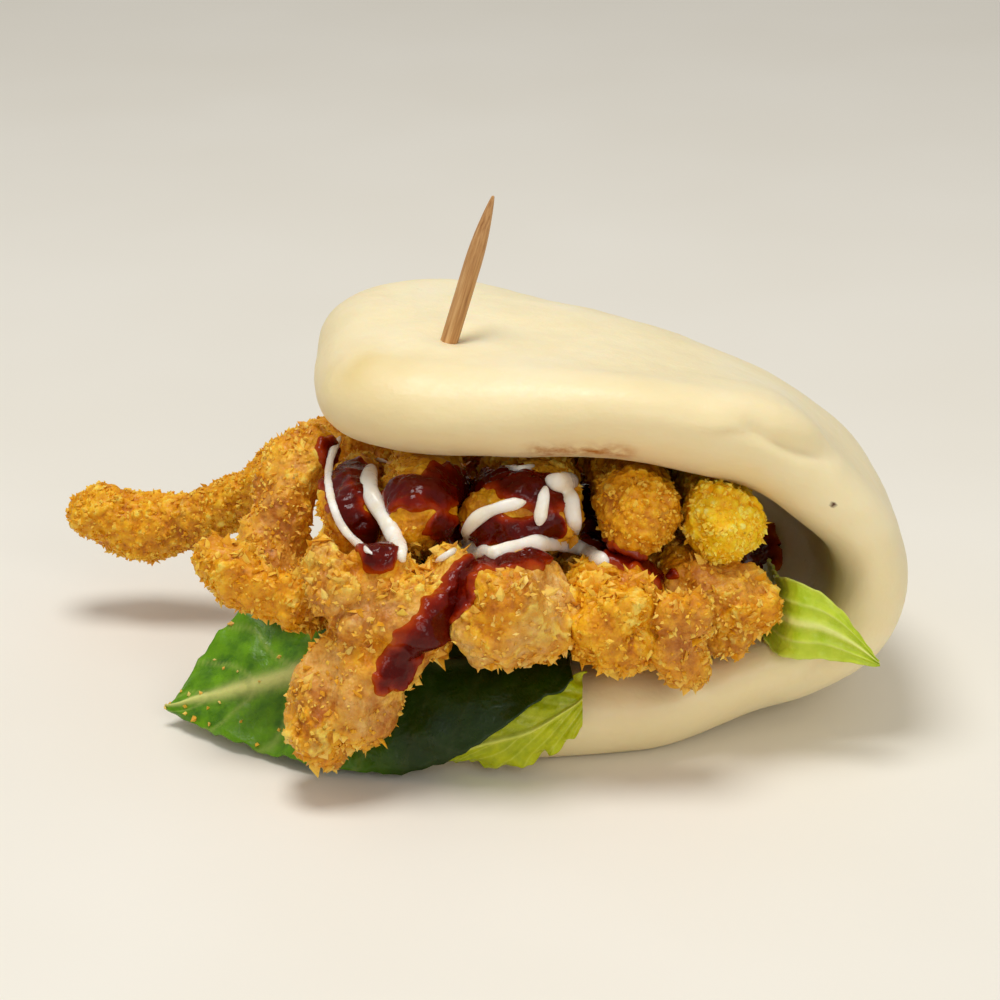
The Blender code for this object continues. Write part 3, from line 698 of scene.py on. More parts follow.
def swelling(along, across, offset):
    """The roll of dough that bulges out above the fold."""
    roll_x = (along - ROLL_AT[0]) / ROLL_SIZE
    roll_y = (across - ROLL_AT[1]) / ROLL_SIZE
    height = ROLL_HEIGHT * np.exp(-roll_x * roll_x - roll_y * roll_y)
    return height * np.clip(offset / FOLD_HALF_THICKNESS, 0.0, 1.0)


def pressed(height):
    """Heights with the underside pressed flat."""
    return np.maximum(height - PRESSED_BY * (1.0 - smooth_step(height, PRESSED_SPAN)), 0.0)


def bun_points(along, across, offset):
    """Points of the folded bun for arrays of sheet places."""
    table = spine_table()
    place = along / BUN_LENGTH * (len(table) - 1)
    steps = np.arange(len(table))
    x, z, heading = (np.interp(place, steps, table[:, k]) for k in range(3))
    share = across / half_width(along)
    shift = LOWER_SHIFT * (1.0 - smooth_step(along, LOWER_SHIFT_FADES))
    offset = offset + swelling(along, across, offset)
    x = x + np.sin(heading) * offset - draw_back(along, share)
    z = z - np.cos(heading) * offset - sag(along, share) + rise(along, share)
    return np.stack([x, BUN_MIDDLE_Y + shift + across, pressed(z)], axis=1)


def bun_grid(stations, sides):
    """Sheet places (along, across, offset) of the bun's rings and its two end points."""
    half = sides // 2
    turn = np.arange(sides) * np.pi / half
    along = np.repeat(spaced_along(np.arange(1, stations), stations), sides)
    across = outline(along) * np.tile(np.cos(turn), stations - 1)
    depth = np.clip(rim_distance(along, across) / RIM_DEPTH, 0.0, 1.0)
    side = np.where(turn % np.pi < 1e-9, 0.0, np.where(turn < np.pi, 1.0, -1.0))
    sign = np.tile(side, stations - 1)
    offset = sign * half_thickness(along) * np.sqrt(1.0 - (1.0 - depth) ** 2)
    level = (0.0, 0.0)
    return np.append(along, (0.0, BUN_LENGTH)), np.append(across, level), np.append(offset, level)


def ring_faces(rings, sides, first, last):
    """Faces between rings of points, closed by the points numbered first and last."""
    pairs = [(side, (side + 1) % sides) for side in range(sides)]
    end = (rings - 1) * sides
    faces = [
        (low + side, low + after, low + sides + after, low + sides + side)
        for low in range(0, end, sides)
        for side, after in pairs
    ]
    for side, after in pairs:
        faces += [(first, after, side), (last, end + side, end + after)]
    return faces


def frame_shift():
    """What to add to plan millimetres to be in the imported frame, from the bun's own box."""
    plan = bun_points(*bun_grid(48, 24))
    low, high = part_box("bun")
    middle = (plan.min(0) + plan.max(0)) / 2.0
    shift = (np.array(low) + np.array(high)) / (2.0 * MM) - middle
    shift[2] = 0.0
    return shift


SHIFT = frame_shift()


def sight_ray(x, z):
    """The line of sight through a place on the upright front plane."""
    return (Vector((x, FRONT_Y, z)) - EYE).normalized()


def cast(tree, x, z):
    """Where the line of sight through (x, z) first meets a surface, or None."""
    return tree.ray_cast(EYE, sight_ray(x, z))[0]


def plan_tree(*things):
    """A search tree of objects' surfaces in plan millimetres."""
    points, faces = [], []
    for thing in things:
        start = len(points)
        mesh = thing.data
        places, _ = mesh_arrays(mesh)
        points.extend(Vector(p) for p in places)
        faces.extend(tuple(start + i for i in polygon.vertices) for polygon in mesh.polygons)
    return BVHTree.FromPolygons(points, faces)


def cast_line(tree, stroke):
    """The stroke's places on the surface, as seen along the line of sight."""
    found = [cast(tree, x, z) for x, z in stroke]
    return np.array([tuple(place) for place in found if place is not None])


# Marks on the dough, as places (x, z) on the front plane.
CREASE = ((28.5, 44.0), (31.0, 42.5), (33.5, 41.5), (36.0, 41.0), (38.0, 41.0))
CREASE_DEPTH = 0.9
CREASE_WIDTH = 0.9
CREASE_BULGE = 0.7
CREASE_BULGE_AT = 3.2
CREASE_BULGE_WIDTH = 2.4
LOW_CREASE = ((34.5, 10.0), (35.5, 11.5), (36.5, 14.0), (38.0, 16.5))
LOW_CREASE_DEPTH = 0.9
LOW_CREASE_WIDTH = 1.3
STAIN = ((4.5, 41.0), (8.0, 41.0), (13.5, 41.0))
STAIN_SIZE = 1.5
STAIN_STRENGTH = 1.1
TOAST_SPOT = ((-16.0, 51.5),)
TOAST_SIZE = 7.0
TOAST_STRENGTH = 0.75
SPECK = ((38.0, 34.5),)
SPECK_SIZE = 0.5
# Rings around the toothpick: the dough dips beside it and swells a little around the dip.
DIMPLE_DEPTH = 0.9
DIMPLE_SIZE = 2.6
COLLAR_HEIGHT = 0.25
COLLAR_AT = 5.0
COLLAR_WIDTH = 2.0
ENTRY_STEP = 0.25
ENTRY_REACH = 1.2
# Lumps of the skin: height, size and seed. They fade out towards the floor.
DOUGH_LUMPS = ((0.42, 17.0, 3), (0.16, 7.0, 4), (0.05, 2.6, 5))
LUMPS_START = (0.4, 3.0)
# Painted shade on the rounded border: how strongly the dough is painted darker and yellower near
# the sheet's rim, and how far in from it.
RIM_SHADE = 0.25
RIM_SHADE_DEPTH = 12.0


def normals_of(points, faces):
    """Outward normals of a net of points, by way of a throwaway mesh."""
    mesh = bpy.data.meshes.new("probe")
    mesh.from_pydata(points.tolist(), [], faces)
    face_outward(mesh)
    normals = read(mesh, "normal")
    bpy.data.meshes.remove(mesh)
    return normals


def pick_entry(points):
    """Where the pick's middle line enters the top of the bun."""
    along = np.arange(0.0, PICK_LENGTH, ENTRY_STEP)
    line = np.array(PICK_TIP) + along[:, None] * np.array(PICK_AXIS)
    tree = kdtree.KDTree(len(points))
    for i, place in enumerate(points):
        tree.insert(Vector(place), i)
    tree.balance()
    return next(place for place in line if tree.find(Vector(place))[2] < ENTRY_REACH)


def dough_marks(points, tree):
    """How far the creases, the bulge over the upper one and the pick's dimple move each point."""
    crease = cast_line(tree, CREASE)
    reach, place = nearest_on_line(points, crease)
    fade = np.sin(np.pi * np.clip(place * 0.9 + 0.1, 0.0, 1.0)) ** 0.5
    above = points[:, 2] > np.interp(points[:, 0], crease[:, 0], crease[:, 2])
    move = -CREASE_DEPTH * bell(reach, CREASE_WIDTH) * fade
    move += CREASE_BULGE * bell(reach - CREASE_BULGE_AT, CREASE_BULGE_WIDTH) * fade * above
    reach, place = nearest_on_line(points, cast_line(tree, LOW_CREASE))
    fade = np.sin(np.pi * place * 0.8 + 0.3)
    move -= LOW_CREASE_DEPTH * bell(reach, LOW_CREASE_WIDTH) * fade
    ring = np.linalg.norm(points - pick_entry(points), axis=1)
    move -= DIMPLE_DEPTH * bell(ring, DIMPLE_SIZE)
    return move + COLLAR_HEIGHT * bell(ring - COLLAR_AT, COLLAR_WIDTH)


def make_bun():
    along, across, offset = bun_grid(BUN_STATIONS, BUN_SIDES)
    points = bun_points(along, across, offset)
    first = len(points) - 2
    faces = ring_faces(BUN_STATIONS - 1, BUN_SIDES, first, first + 1)
    normals = normals_of(points, faces)
    tree = BVHTree.FromPolygons([Vector(p) for p in points], faces)

    def spot_reach(spot):
        return np.linalg.norm(points - cast_line(tree, spot)[0], axis=1)

    move = layered(points, *DOUGH_LUMPS) * smooth_step(points[:, 2], LUMPS_START)
    move += dough_marks(points, tree)
    stain_reach, _ = nearest_on_line(points, cast_line(tree, STAIN))
    stain = STAIN_STRENGTH * bell(stain_reach, STAIN_SIZE)
    patchy = 0.6 + 0.8 * soft_noise(points, 5.0, 8)
    tone_and_rim_shade = TOAST_STRENGTH * bell(spot_reach(TOAST_SPOT), TOAST_SIZE) * patchy
    # Near the rim the dough is painted darker and yellower as shade on its rounded border; the spot
    # and the noise are the dough's own tone.
    rim = np.clip(1.0 - rim_distance(along, across) / RIM_SHADE_DEPTH, 0.0, 1.0)
    tone_and_rim_shade += RIM_SHADE * rim + 0.2 * soft_noise(points, 16.0, 9)
    speck = bell(spot_reach(SPECK), SPECK_SIZE)

    points = points + normals * move[:, None]
    points[:, 2] = np.maximum(points[:, 2], 0.0)
    bun = thing_of("bun_dough", points, faces, dough_material())
    set_colours(bun.data, "dough", (stain, tone_and_rim_shade, speck))
    return keep(bun, "dough", "bun")


# ---------------------------------------------------------------- toothpick


def make_pick():
    """A turned stick with a slightly blunt, uneven point at each end."""
    stations = PICK_LENGTH * 0.5 * (1.0 - np.cos(np.pi * np.arange(PICK_STEPS + 1) / PICK_STEPS))
    along = np.repeat(stations, PICK_SIDES)
    angle = np.tile(2.0 * np.pi * np.arange(PICK_SIDES) / PICK_SIDES, PICK_STEPS + 1)
    from_end = np.maximum(np.minimum(along, PICK_LENGTH - along), 0.0)
    taper = np.minimum(from_end / PICK_TAPER, 1.0)
    radius = mix(PICK_POINT, PICK_RADIUS, np.sin(0.5 * np.pi * taper) ** 0.85)
    radius *= 1.0 + 0.025 * np.cos(5.0 * angle + 0.04 * along) + 0.012 * np.cos(11.0 * angle)
    turned = np.stack([radius * np.cos(angle), radius * np.sin(angle), along], axis=1)
    turned = np.append(turned, [(0.0, 0.0, -PICK_CAP), (0.0, 0.0, PICK_LENGTH + PICK_CAP)], axis=0)
    side = Vector((0.0, 1.0, 0.0))
    points = np.array(PICK_TIP) + turned @ np.array((side, PICK_AXIS.cross(side), PICK_AXIS))
    first = len(points) - 2
    faces = ring_faces(PICK_STEPS + 1, PICK_SIDES, first, first + 1)
    pick = thing_of("pick", points, faces, wood_material())
    layer = pick.data.attributes.new("fibre", "FLOAT_VECTOR", "POINT")
    layer.data.foreach_set("vector", (turned * MM).astype(np.float32).ravel())
    return keep(pick, "pick_wood", "toothpick")


# ---------------------------------------------------------------- fried pieces

NET_SIZE = 0.3
NET_SMOOTHING = 10
YELLOW_PIECE = "fried_nugget_right"
# How each piece is crumbed: grain (rounded crumbs), frill (ragged shards) and pallor.
CRUSTS = {
    "fried_strip_long": (1.0, 0.15, 0.0),
    "fried_strip_upright": (0.8, 0.4, 0.4),
    "fried_nub_left": (0.7, 0.7, 0.1),
    "fried_nugget_left": (1.1, 0.2, 0.0),
    YELLOW_PIECE: (1.1, 0.1, 0.0),
    "fried_piece_right": (0.8, 0.7, 0.5),
    "fried_piece_orange": (0.9, 0.8, 0.0),
    "fried_piece_pale": (0.5, 1.0, 1.1),
    "fried_piece_inner": (0.8, 0.4, 0.1),
    "fried_piece_left": (0.8, 0.4, 0.0),
    "fried_piece_back": (1.0, 0.5, 0.1),
    "fried_piece_sauced": (0.8, 0.6, 0.2),
    "fried_fork": (0.7, 1.0, 0.7),
    "fried_flake": (0.6, 1.0, 0.6),
}


def round_grains(points, size, seed, reach, least, spread):
    """Rounded crumbs about `size` across whose heights vary."""
    near, own, _ = grains(points, size, seed)
    return np.clip(1.0 - (near / reach) ** 2, 0.0, 1.0) * (least + spread * own)


def shards(points, size, seed, share, loss, slope, most):
    """Tilted flat-topped crumbs about `size` across, standing out on one side."""
    _, own, tilt = grains(points, size, seed)
    return np.clip(own * share - loss + slope * tilt, 0.0, most)


def crumb_relief(points, seed, grain, frill):
    """The piece's swelling and its crumb, in millimetres, and how high the crumb is from 0 to 1."""
    big = round_grains(points, 1.35, seed, 0.72, 0.35, 0.75)
    small = round_grains(points, 0.75, seed + 40, 0.75, 0.3, 0.7)
    shard = shards(points, 2.2, seed + 80, 1.5, 0.45, 0.9, 1.4)
    splinter = shards(points, 1.2, seed + 90, 1.6, 0.6, 1.0, 1.2)
    where = np.clip(0.55 + 0.9 * soft_noise(points, 6.0, seed + 7), 0.15, 1.0)
    out = grain * (0.5 * big + 0.28 * small) + frill * where * (0.75 * shard + 0.5 * splinter)
    level = np.clip(out / (0.78 * grain + 0.9 * frill), 0.0, 1.0)
    swell = layered(points, (0.35, 4.5, seed + 11), (0.25, 2.2, seed + 12))
    ragged = 0.4 + 1.6 * soft_noise(points, 7.0, seed + 14)
    ragged += 1.2 * soft_noise(points, 3.4, seed + 15)
    return frill * ragged + swell - 0.35, out, level


def base_of(node):
    """A smooth, fine copy of a CAD node's solid."""
    mesh = frame["nodes"][node].data.copy()
    thing = bpy.data.objects.new(node.replace("fried", "crumbed"), mesh)
    bpy.context.scene.collection.objects.link(thing)
    grid = bmesh.new()
    grid.from_mesh(mesh)
    bmesh.ops.remove_doubles(grid, verts=grid.verts, dist=1e-6)
    grid.to_mesh(mesh)
    grid.free()
    remeshed(thing, NET_SIZE, NET_SMOOTHING)
    return thing


def make_fried():
    """Every fried piece, with the arrays that the sauce film needs."""
    looks = {look: crust_material(look) for look in CRUST_COLOURS}
    made, bases = [], []
    for seed, (node, (grain, frill, pallor)) in enumerate(CRUSTS.items(), start=1):
        thing = base_of(node)
        mesh = thing.data
        points, normals = mesh_arrays(mesh)
        bulk, out, level = crumb_relief(points, seed, grain, frill)
        bare = pallor * np.clip(0.5 + 1.8 * soft_noise(points, 7.0, seed + 21), 0.0, 1.0)
        bare = np.clip(bare, 0.0, 1.0)
        out *= 1.0 - 0.7 * bare
        bases.append((thing, points, normals, bulk, out, bare))
        set_points(mesh, points + normals * (bulk + out)[:, None])
        yellow = node == YELLOW_PIECE
        scorch = np.clip(0.2 + 1.7 * soft_noise(points, 6.0, seed + 31), 0.0, 1.0)
        mesh.materials.clear()
        mesh.materials.append(looks["yellow" if yellow else "golden"])
        scorch *= 0.2 if yellow else 0.75
        # The crumb height goes first, for the painted shade in the hollows and the painted light on
        # the tips.
        set_colours(mesh, "crumb", (level, bare * (1.2 - level), scorch))
        made.append(keep(thing, frame_slot(node), node))
    return made, bases


def frame_slot(node):
    """The record's material slot of a CAD node."""
    for part in frame["record"]["subparts"]:
        if part["node"] == node:
            return part["material_slot"]
    raise KeyError(node)


# ---------------------------------------------------------------- loose crumbs

GRAIN_COUNT = 11000
FLAKE_COUNT = 5000
FALLEN_COUNT = 22
FALLEN_PALLOR = 0.9
CRUMB_CLEARANCE = 2.2
CRUMB_LIFT = 0.05
LEAF_CLEARANCE = 12.0
UP = Vector((0.0, 0.0, 1.0))
# A grain of crumb is a lopsided eight-sided block.
CRUMB_CORNERS = np.kron(np.eye(3), [[1.0], [-1.0]])
CRUMB_RIM = ((0, 2), (2, 1), (1, 3), (3, 0))
CRUMB_FACES = [(*edge, 4) for edge in CRUMB_RIM] + [(*edge[::-1], 5) for edge in CRUMB_RIM]


def crumb_axes(rng, outward, lean):
    """Three axes at right angles, the first leaning towards the outward direction."""
    first = rng.normal(size=3)
    first /= np.linalg.norm(first)
    first = first + outward * lean
    first /= np.linalg.norm(first)
    second = np.cross(first, rng.normal(size=3))
    second /= np.linalg.norm(second)
    return np.array((first, second, np.cross(first, second)))


def open_spots(bases, masks, blocked, rng):
    """Places on the crust that are open to the air and clear of sauce, in random order."""
    spots, outs, kinds = [], [], []
    for (node, (_, frill, pallor)), base, mask in zip(CRUSTS.items(), bases, masks):
        points, normals = mesh_arrays(base[0].data)
        clear = (mask < -0.1) & (rng.random(len(mask)) > 0.85 * base[5])
        spots.append(points[clear])
        outs.append(normals[clear])
        kind = np.array((frill, float(node == YELLOW_PIECE), 0.6 * pallor))
        kinds.append(np.tile(kind, (int(clear.sum()), 1)))
    spots, outs, kinds = np.concatenate(spots), np.concatenate(outs), np.concatenate(kinds)
    for i in rng.permutation(len(spots)):
        start = Vector(spots[i] + outs[i] * 0.8)
        if blocked.ray_cast(start, Vector(outs[i]), CRUMB_CLEARANCE)[0] is None:
            yield spots[i], outs[i], kinds[i]


def fallen_spots(leaf, blocked, rng):
    """A few open places on top of a leaf."""
    points, normals = mesh_arrays(leaf.data)
    found = 0
    for i in rng.permutation(len(points)):
        start = Vector(points[i] + normals[i] * 0.3)
        if normals[i][2] < 0.3 or blocked.ray_cast(start, UP, LEAF_CLEARANCE)[0]:
            continue
        yield points[i], normals[i], (0.0, 0.0, FALLEN_PALLOR)
        found += 1
        if found == FALLEN_COUNT:
            return


def make_crumbs(bases, masks, blocked, leaf):
    """Grains and thin upright flakes of crumb on every open crust, and a few fallen on a leaf."""
    rng = np.random.default_rng(11)
    points, faces, shades = [], [], []
    grains_left, flakes_left = GRAIN_COUNT, FLAKE_COUNT
    places = itertools.chain(
        fallen_spots(leaf, blocked, rng), open_spots(bases, masks, blocked, rng)
    )
    for spot, outward, (frill, yellow, pale) in places:
        fringe = frill * float(smooth_step(abs(outward[2]), (0.3, 0.85)))
        flake = flakes_left > 0 and rng.random() < 0.02 + 0.3 * frill + 0.4 * fringe
        if flake:
            flakes_left -= 1
            size = np.array((0.35 + 0.45 * rng.random() ** 2, 0.28 + 0.16 * rng.random(), 0.12))
            size *= 1.0 + 1.2 * fringe * (0.5 + 0.5 * rng.random())
            axes = crumb_axes(rng, outward, 0.9)
        elif grains_left > 0:
            grains_left -= 1
            size = 0.17 + 0.22 * rng.random() ** 2
            size *= np.array((1.2 + 0.5 * rng.random(), 1.0, 0.8))
            axes = crumb_axes(rng, outward, 0.0)
        elif flakes_left == 0:
            break
        else:
            continue
        jitter = 1.0 + 0.5 * (rng.random((len(CRUMB_CORNERS), 1)) - 0.5)
        grain = (CRUMB_CORNERS * jitter * size) @ axes
        base = len(points)
        points.extend((grain + spot + outward * CRUMB_LIFT).tolist())
        faces.extend(tuple(base + k for k in face) for face in CRUMB_FACES)
        shade = (0.2 + 0.8 * rng.random(), yellow, pale * rng.random())
        shades.extend([shade] * len(CRUMB_CORNERS))
    crumbs = thing_of("crumbs", points, faces, crumb_material())
    crumbs.data.shade_flat()
    set_colours(crumbs.data, "crumb", np.array(shades).T)
    return keep(crumbs, "crust")


# ---------------------------------------------------------------- sauce

# Strokes of dark sauce on the front plane: points (x, z) and the half-width at each end.
SAUCE_STROKES = (
    (((-2.0, 27.5), (-4.5, 24.0), (-7.5, 20.0), (-10.0, 16.5), (-12.5, 13.0)), 3.2, 3.6),
    (((-19.0, 41.0), (-18.5, 38.0), (-17.5, 34.5), (-15.5, 31.0), (-14.0, 28.5)), 2.8, 3.0),
    (((-16.5, 39.5), (-15.5, 36.5), (-14.0, 33.5)), 2.6, 2.2),
    (((-11.5, 36.5), (-7.5, 36.5), (-4.0, 37.0), (4.0, 36.5), (6.5, 36.5)), 3.8, 3.8),
    (((10.0, 36.0), (10.5, 33.5), (11.0, 30.5), (13.0, 28.0), (18.0, 26.0)), 3.2, 2.4),
    (((-1.5, 28.0), (1.0, 27.5), (5.5, 28.0), (10.0, 27.5)), 2.0, 1.8),
    (((-7.0, 32.0), (-4.5, 31.5), (-1.5, 32.0), (2.5, 31.0), (6.0, 31.5)), 2.6, 2.6),
    (((13.0, 27.5), (17.0, 26.5), (20.0, 26.0)), 1.8, 1.4),
)
FOLD_SPOT = (((29.5, 30.5), (30.2, 27.0)), 2.8, 3.0)
FILM_TOP = 0.55
FILM_SINK = 0.75
FILM_THICKNESS = 0.35
LEAST_ISLAND = 70


def stroke_mask(points, tree, stroke):
    """How far inside one stroke of sauce each point is: 1 in its middle, below 0 outside it."""
    route, wide_start, wide_end = stroke
    line = cast_line(tree, route)
    if len(line) < 2:
        return np.full(len(points), -1.0)
    reach, place = nearest_on_line(points, line)
    wide = mix(wide_start, wide_end, place)
    ragged = layered(points, (0.7, 2.4, 61), (0.35, 1.1, 62))
    return 1.0 - (reach + ragged) / wide


def film_part(thing, base, mask, store):
    """Adds the part of an object's surface under the mask, lifted into a film."""
    points, normals, bulk, out = base
    used = mask > -0.12
    lift = bulk + out * 0.7 + mix(-FILM_SINK, FILM_TOP, smooth_step(mask, (0.0, 0.4)))
    places = points + normals * lift[:, None]
    faces = [tuple(polygon.vertices) for polygon in thing.data.polygons]
    kept = [face for face in faces if all(used[i] for i in face)]
    wanted = sorted({i for face in kept for i in face})
    start = len(store["points"])
    numbers = np.full(len(points), -1)
    numbers[wanted] = np.arange(start, start + len(wanted))
    store["points"].extend(places[wanted].tolist())
    store["thick"].extend(smooth_step(mask, (0.0, 0.7))[wanted].tolist())
    store["faces"].extend(tuple(int(numbers[i]) for i in face) for face in kept)


def sauce_masks(bases, fried):
    """For each fried piece, how far inside the sauce its points are."""
    tree = plan_tree(*fried)
    masks = []
    for base in bases:
        strokes = [stroke_mask(base[1], tree, stroke) for stroke in SAUCE_STROKES]
        masks.append(np.max(strokes, axis=0))
    return masks


def make_sauce(bases, masks, bun):
    """One film of sauce over the fried pieces and on the inside of the fold."""
    store = {"points": [], "faces": [], "thick": []}
    for (thing, *base, _), mask in zip(bases, masks):
        film_part(thing, base, mask, store)
    points, normals = mesh_arrays(bun.data)
    level = np.zeros(len(points))
    mask = stroke_mask(points, plan_tree(bun), FOLD_SPOT)
    film_part(bun, (points, normals, level, level), mask, store)
    film = thing_of("sauce_film", store["points"], store["faces"], sauce_material())
    set_colours(film.data, "film", (np.array(store["thick"]),))
    body = film.modifiers.new("body", "SOLIDIFY")
    body.thickness = FILM_THICKNESS * MM
    body.offset = -1.0
    applied(film)
    drop_scraps(film, LEAST_ISLAND)
    return keep(film, "crust_sauced")


# ---------------------------------------------------------------- mayo

# Strands of mayo on the front plane: half-width and points (x, z).
MAYO_STRANDS = (
    (0.55, (
        (-18.0, 43.0), (-19.0, 41.0), (-19.5, 38.0),
        (-19.0, 34.5), (-17.5, 31.0), (-14.5, 28.5),
    )),
    (1.1, (
        (-14.5, 39.5), (-15.0, 37.5), (-14.5, 35.5),
        (-13.0, 33.0), (-12.0, 30.5), (-11.0, 27.5),
    )),
    (0.8, ((3.0, 35.0), (0.5, 34.5), (-2.0, 33.5), (-3.5, 32.0), (-4.0, 30.5))),
    (1.0, (
        (-4.5, 30.0), (-3.0, 29.0), (-1.0, 28.5), (2.0, 29.5),
        (5.5, 30.0), (9.0, 29.5), (11.0, 28.0), (12.5, 27.5),
    )),
    (0.85, ((5.2, 37.0), (4.8, 34.5), (4.4, 32.0))),
    (0.95, ((7.8, 37.0), (8.2, 34.0), (8.8, 31.0))),
    (0.45, ((-4.5, 29.5), (-6.0, 28.5), (-7.5, 27.5))),
    (1.25, ((5.2, 38.0), (7.0, 37.2), (8.6, 38.0))),
    (0.45, ((0.5, 39.4), (2.2, 39.0), (4.0, 39.5))),
    (0.35, ((-14.5, 40.4), (-12.5, 39.8))),
)
MAYO_LIFT = 0.45
MAYO_SIDES = 14
MAYO_FLATNESS = 0.66
MAYO_UP = Vector((0.0, -0.9, 0.4))
MAYO_NET = 0.2
MAYO_SMOOTHING = 4
DRAPE_ROUNDS = 14


def curve_through(stations, per_span):
    """A smooth curve (Catmull-Rom) through points of any size."""
    rows = np.array([stations[0], *stations, stations[-1]], float)
    a, b, c, d = (rows[k : len(rows) - 3 + k, None] for k in range(4))
    t = np.arange(per_span)[:, None] / per_span
    bend = (2.0 * a - 5.0 * b + 4.0 * c - d) * t * t + (3.0 * b - a - 3.0 * c + d) * t**3
    curve = 0.5 * (2.0 * b + (c - a) * t + bend)
    return np.append(curve.reshape(-1, rows.shape[1]), rows[-2:-1], axis=0)


def draped(tree, route, lift):
    """A strand's middle line laid on the surface below it, with its dips evened out."""
    fine = curve_through(route, 8)
    line = []
    for x, z in fine:
        place = cast(tree, x, z)
        if place is not None:
            line.append(np.array(place) - np.array(sight_ray(x, z)) * lift)
    line = np.array(line)
    for _ in range(DRAPE_ROUNDS):
        middle = (line[:-2] + line[2:]) * 0.5
        eased = line.copy()
        eased[1:-1] = mix(line[1:-1], middle, 0.5)
        toward = np.array(EYE) - line
        toward /= np.linalg.norm(toward, axis=1)[:, None]
        nearer = np.sum((eased - line) * toward, axis=1)
        line = eased - toward * np.minimum(nearer, 0.0)[:, None] * 0.6
    return line


def tube(line, radii):
    """Points and faces of a flattened tube along a line, closed by a point at each end."""
    points = []
    for i, centre in enumerate(line):
        ahead = line[min(i + 1, len(line) - 1)] - line[max(i - 1, 0)]
        ahead = Vector(ahead).normalized()
        across = ahead.cross(MAYO_UP).normalized()
        up = across.cross(ahead)
        for side in range(MAYO_SIDES):
            angle = 2.0 * math.pi * side / MAYO_SIDES
            spoke = across * math.cos(angle) + up * (MAYO_FLATNESS * math.sin(angle))
            points.append(centre + np.array(spoke) * radii[i])
    first = len(points)
    points += [line[0], line[-1]]
    return points, ring_faces(len(line), MAYO_SIDES, first, first + 1)


def make_mayo(under):
    """All strands of mayo melted into one body."""
    tree = plan_tree(*under)
    points, faces = [], []
    for seed, (wide, route) in enumerate(MAYO_STRANDS):
        line = draped(tree, route, MAYO_LIFT + wide * 0.3)
        count = len(line)
        ends = np.minimum(np.arange(count), np.arange(count)[::-1]) + 0.6
        swell = 1.0 + 0.16 * soft_noise(line, 2.6, 70 + seed)
        radii = wide * swell * np.clip(ends / 5.0, 0.12, 1.0) ** 0.6
        more, more_faces = tube(line, radii)
        start = len(points)
        points.extend(more)
        faces.extend(tuple(start + k for k in face) for face in more_faces)
    mayo = thing_of("mayo", points, faces, mayo_material())
    remeshed(mayo, MAYO_NET, MAYO_SMOOTHING)
    drop_scraps(mayo, LEAST_ISLAND)
    return keep(mayo, "dough")


# ---------------------------------------------------------------- salad leaves

LEAF_HALF_THICKNESS = 0.24
LEAF_STEPS = 96
LEAF_ACROSS = 44
LEAF_GAP = 0.35
LEAF_FLOOR = 0.15
# Each leaf: ruffle height, edge frill, vein spacing, how far it lies over the bun, how strong
# its side veins are, and whether they run lengthwise.
LEAF_FORMS = {
    "leaf_frill": (0.7, 1.6, 3.2, 0.2, 0.5, False),
    "leaf_dark": (0.9, 0.5, 6.0, 1.0, 0.22, False),
    "leaf_back": (0.9, 0.6, 6.0, 0.2, 0.22, False),
    "leaf_light": (0.4, 0.35, 0.5, 0.2, 0.5, True),
}


def leaf_net(rows):
    """A net of points through the rows and each point's place (along, across) on the leaf."""
    lines = []
    for column in zip(*rows):
        fine = curve_through(column, 16)
        steps = np.linspace(0.0, len(fine) - 1.0, LEAF_STEPS + 1)
        spaced = [np.interp(steps, np.arange(len(fine)), axis) for axis in fine.T]
        lines.append(np.stack(spaced, axis=1)[:, None])
    near, middle, far = lines
    t = 2.0 * np.arange(LEAF_ACROSS + 1)[:, None] / LEAF_ACROSS
    net = near * ((1 - t) * (2 - t) / 2) + middle * (t * (2 - t)) + far * (t * (t - 1) / 2)
    runs = np.linalg.norm(np.diff(middle[:, 0], axis=0), axis=1)
    along, across = np.meshgrid(np.append(0.0, np.cumsum(runs)), t[:, 0] - 1.0, indexing="ij")
    return net, along.ravel(), across.ravel()


def of_length_one(arrows):
    return arrows / np.maximum(np.linalg.norm(arrows, axis=-1, keepdims=True), 1e-9)


def clear_of(net, tree, gap):
    """Pushes the net's points out of the solids below it."""
    for i, j in itertools.product(range(net.shape[0]), range(net.shape[1])):
        point = Vector(net[i, j])
        place, normal, _, distance = tree.find_nearest(point)
        outside = (point - place).dot(normal) > 0.0
        if outside and distance >= gap:
            continue
        away = (point - place).normalized() if outside and distance > 1e-4 else normal
        net[i, j] = place + away * gap
    return net


def sheet_faces(rows, columns):
    """Faces of a sheet with an upper and a lower net of points, closed round its edge."""
    below = rows * columns
    net = np.arange(below).reshape(rows, columns)
    corners = (net[:-1, :-1], net[:-1, 1:], net[1:, 1:], net[1:, :-1])
    top = np.stack(corners, axis=-1).reshape(-1, 4)
    edge = np.concatenate([net[0, :-1], net[:-1, -1], net[-1, :0:-1], net[:0:-1, 0]])
    after = np.roll(edge, -1)
    sides = np.stack([edge, below + edge, below + after, after], axis=1)
    return np.concatenate([top, below + top[:, [0, 3, 2, 1]], sides]).tolist()


def leaf_veins(flat, along, across, spacing, lengthwise, seed):
    """The side veins, from 0 to 1, and how far each point is from one."""
    away = np.abs(across)
    if lengthwise:
        slant, width = across + 0.05 * soft_noise(flat, 5.0, seed), 0.07
    else:
        slant, width = along + 7.0 * away + 1.2 * soft_noise(flat, 5.0, seed), 0.05
    slant = slant / spacing
    distance = np.abs(slant - np.round(slant))
    return bell(distance, width) * smooth_step(away, (0.0, 0.1)), distance


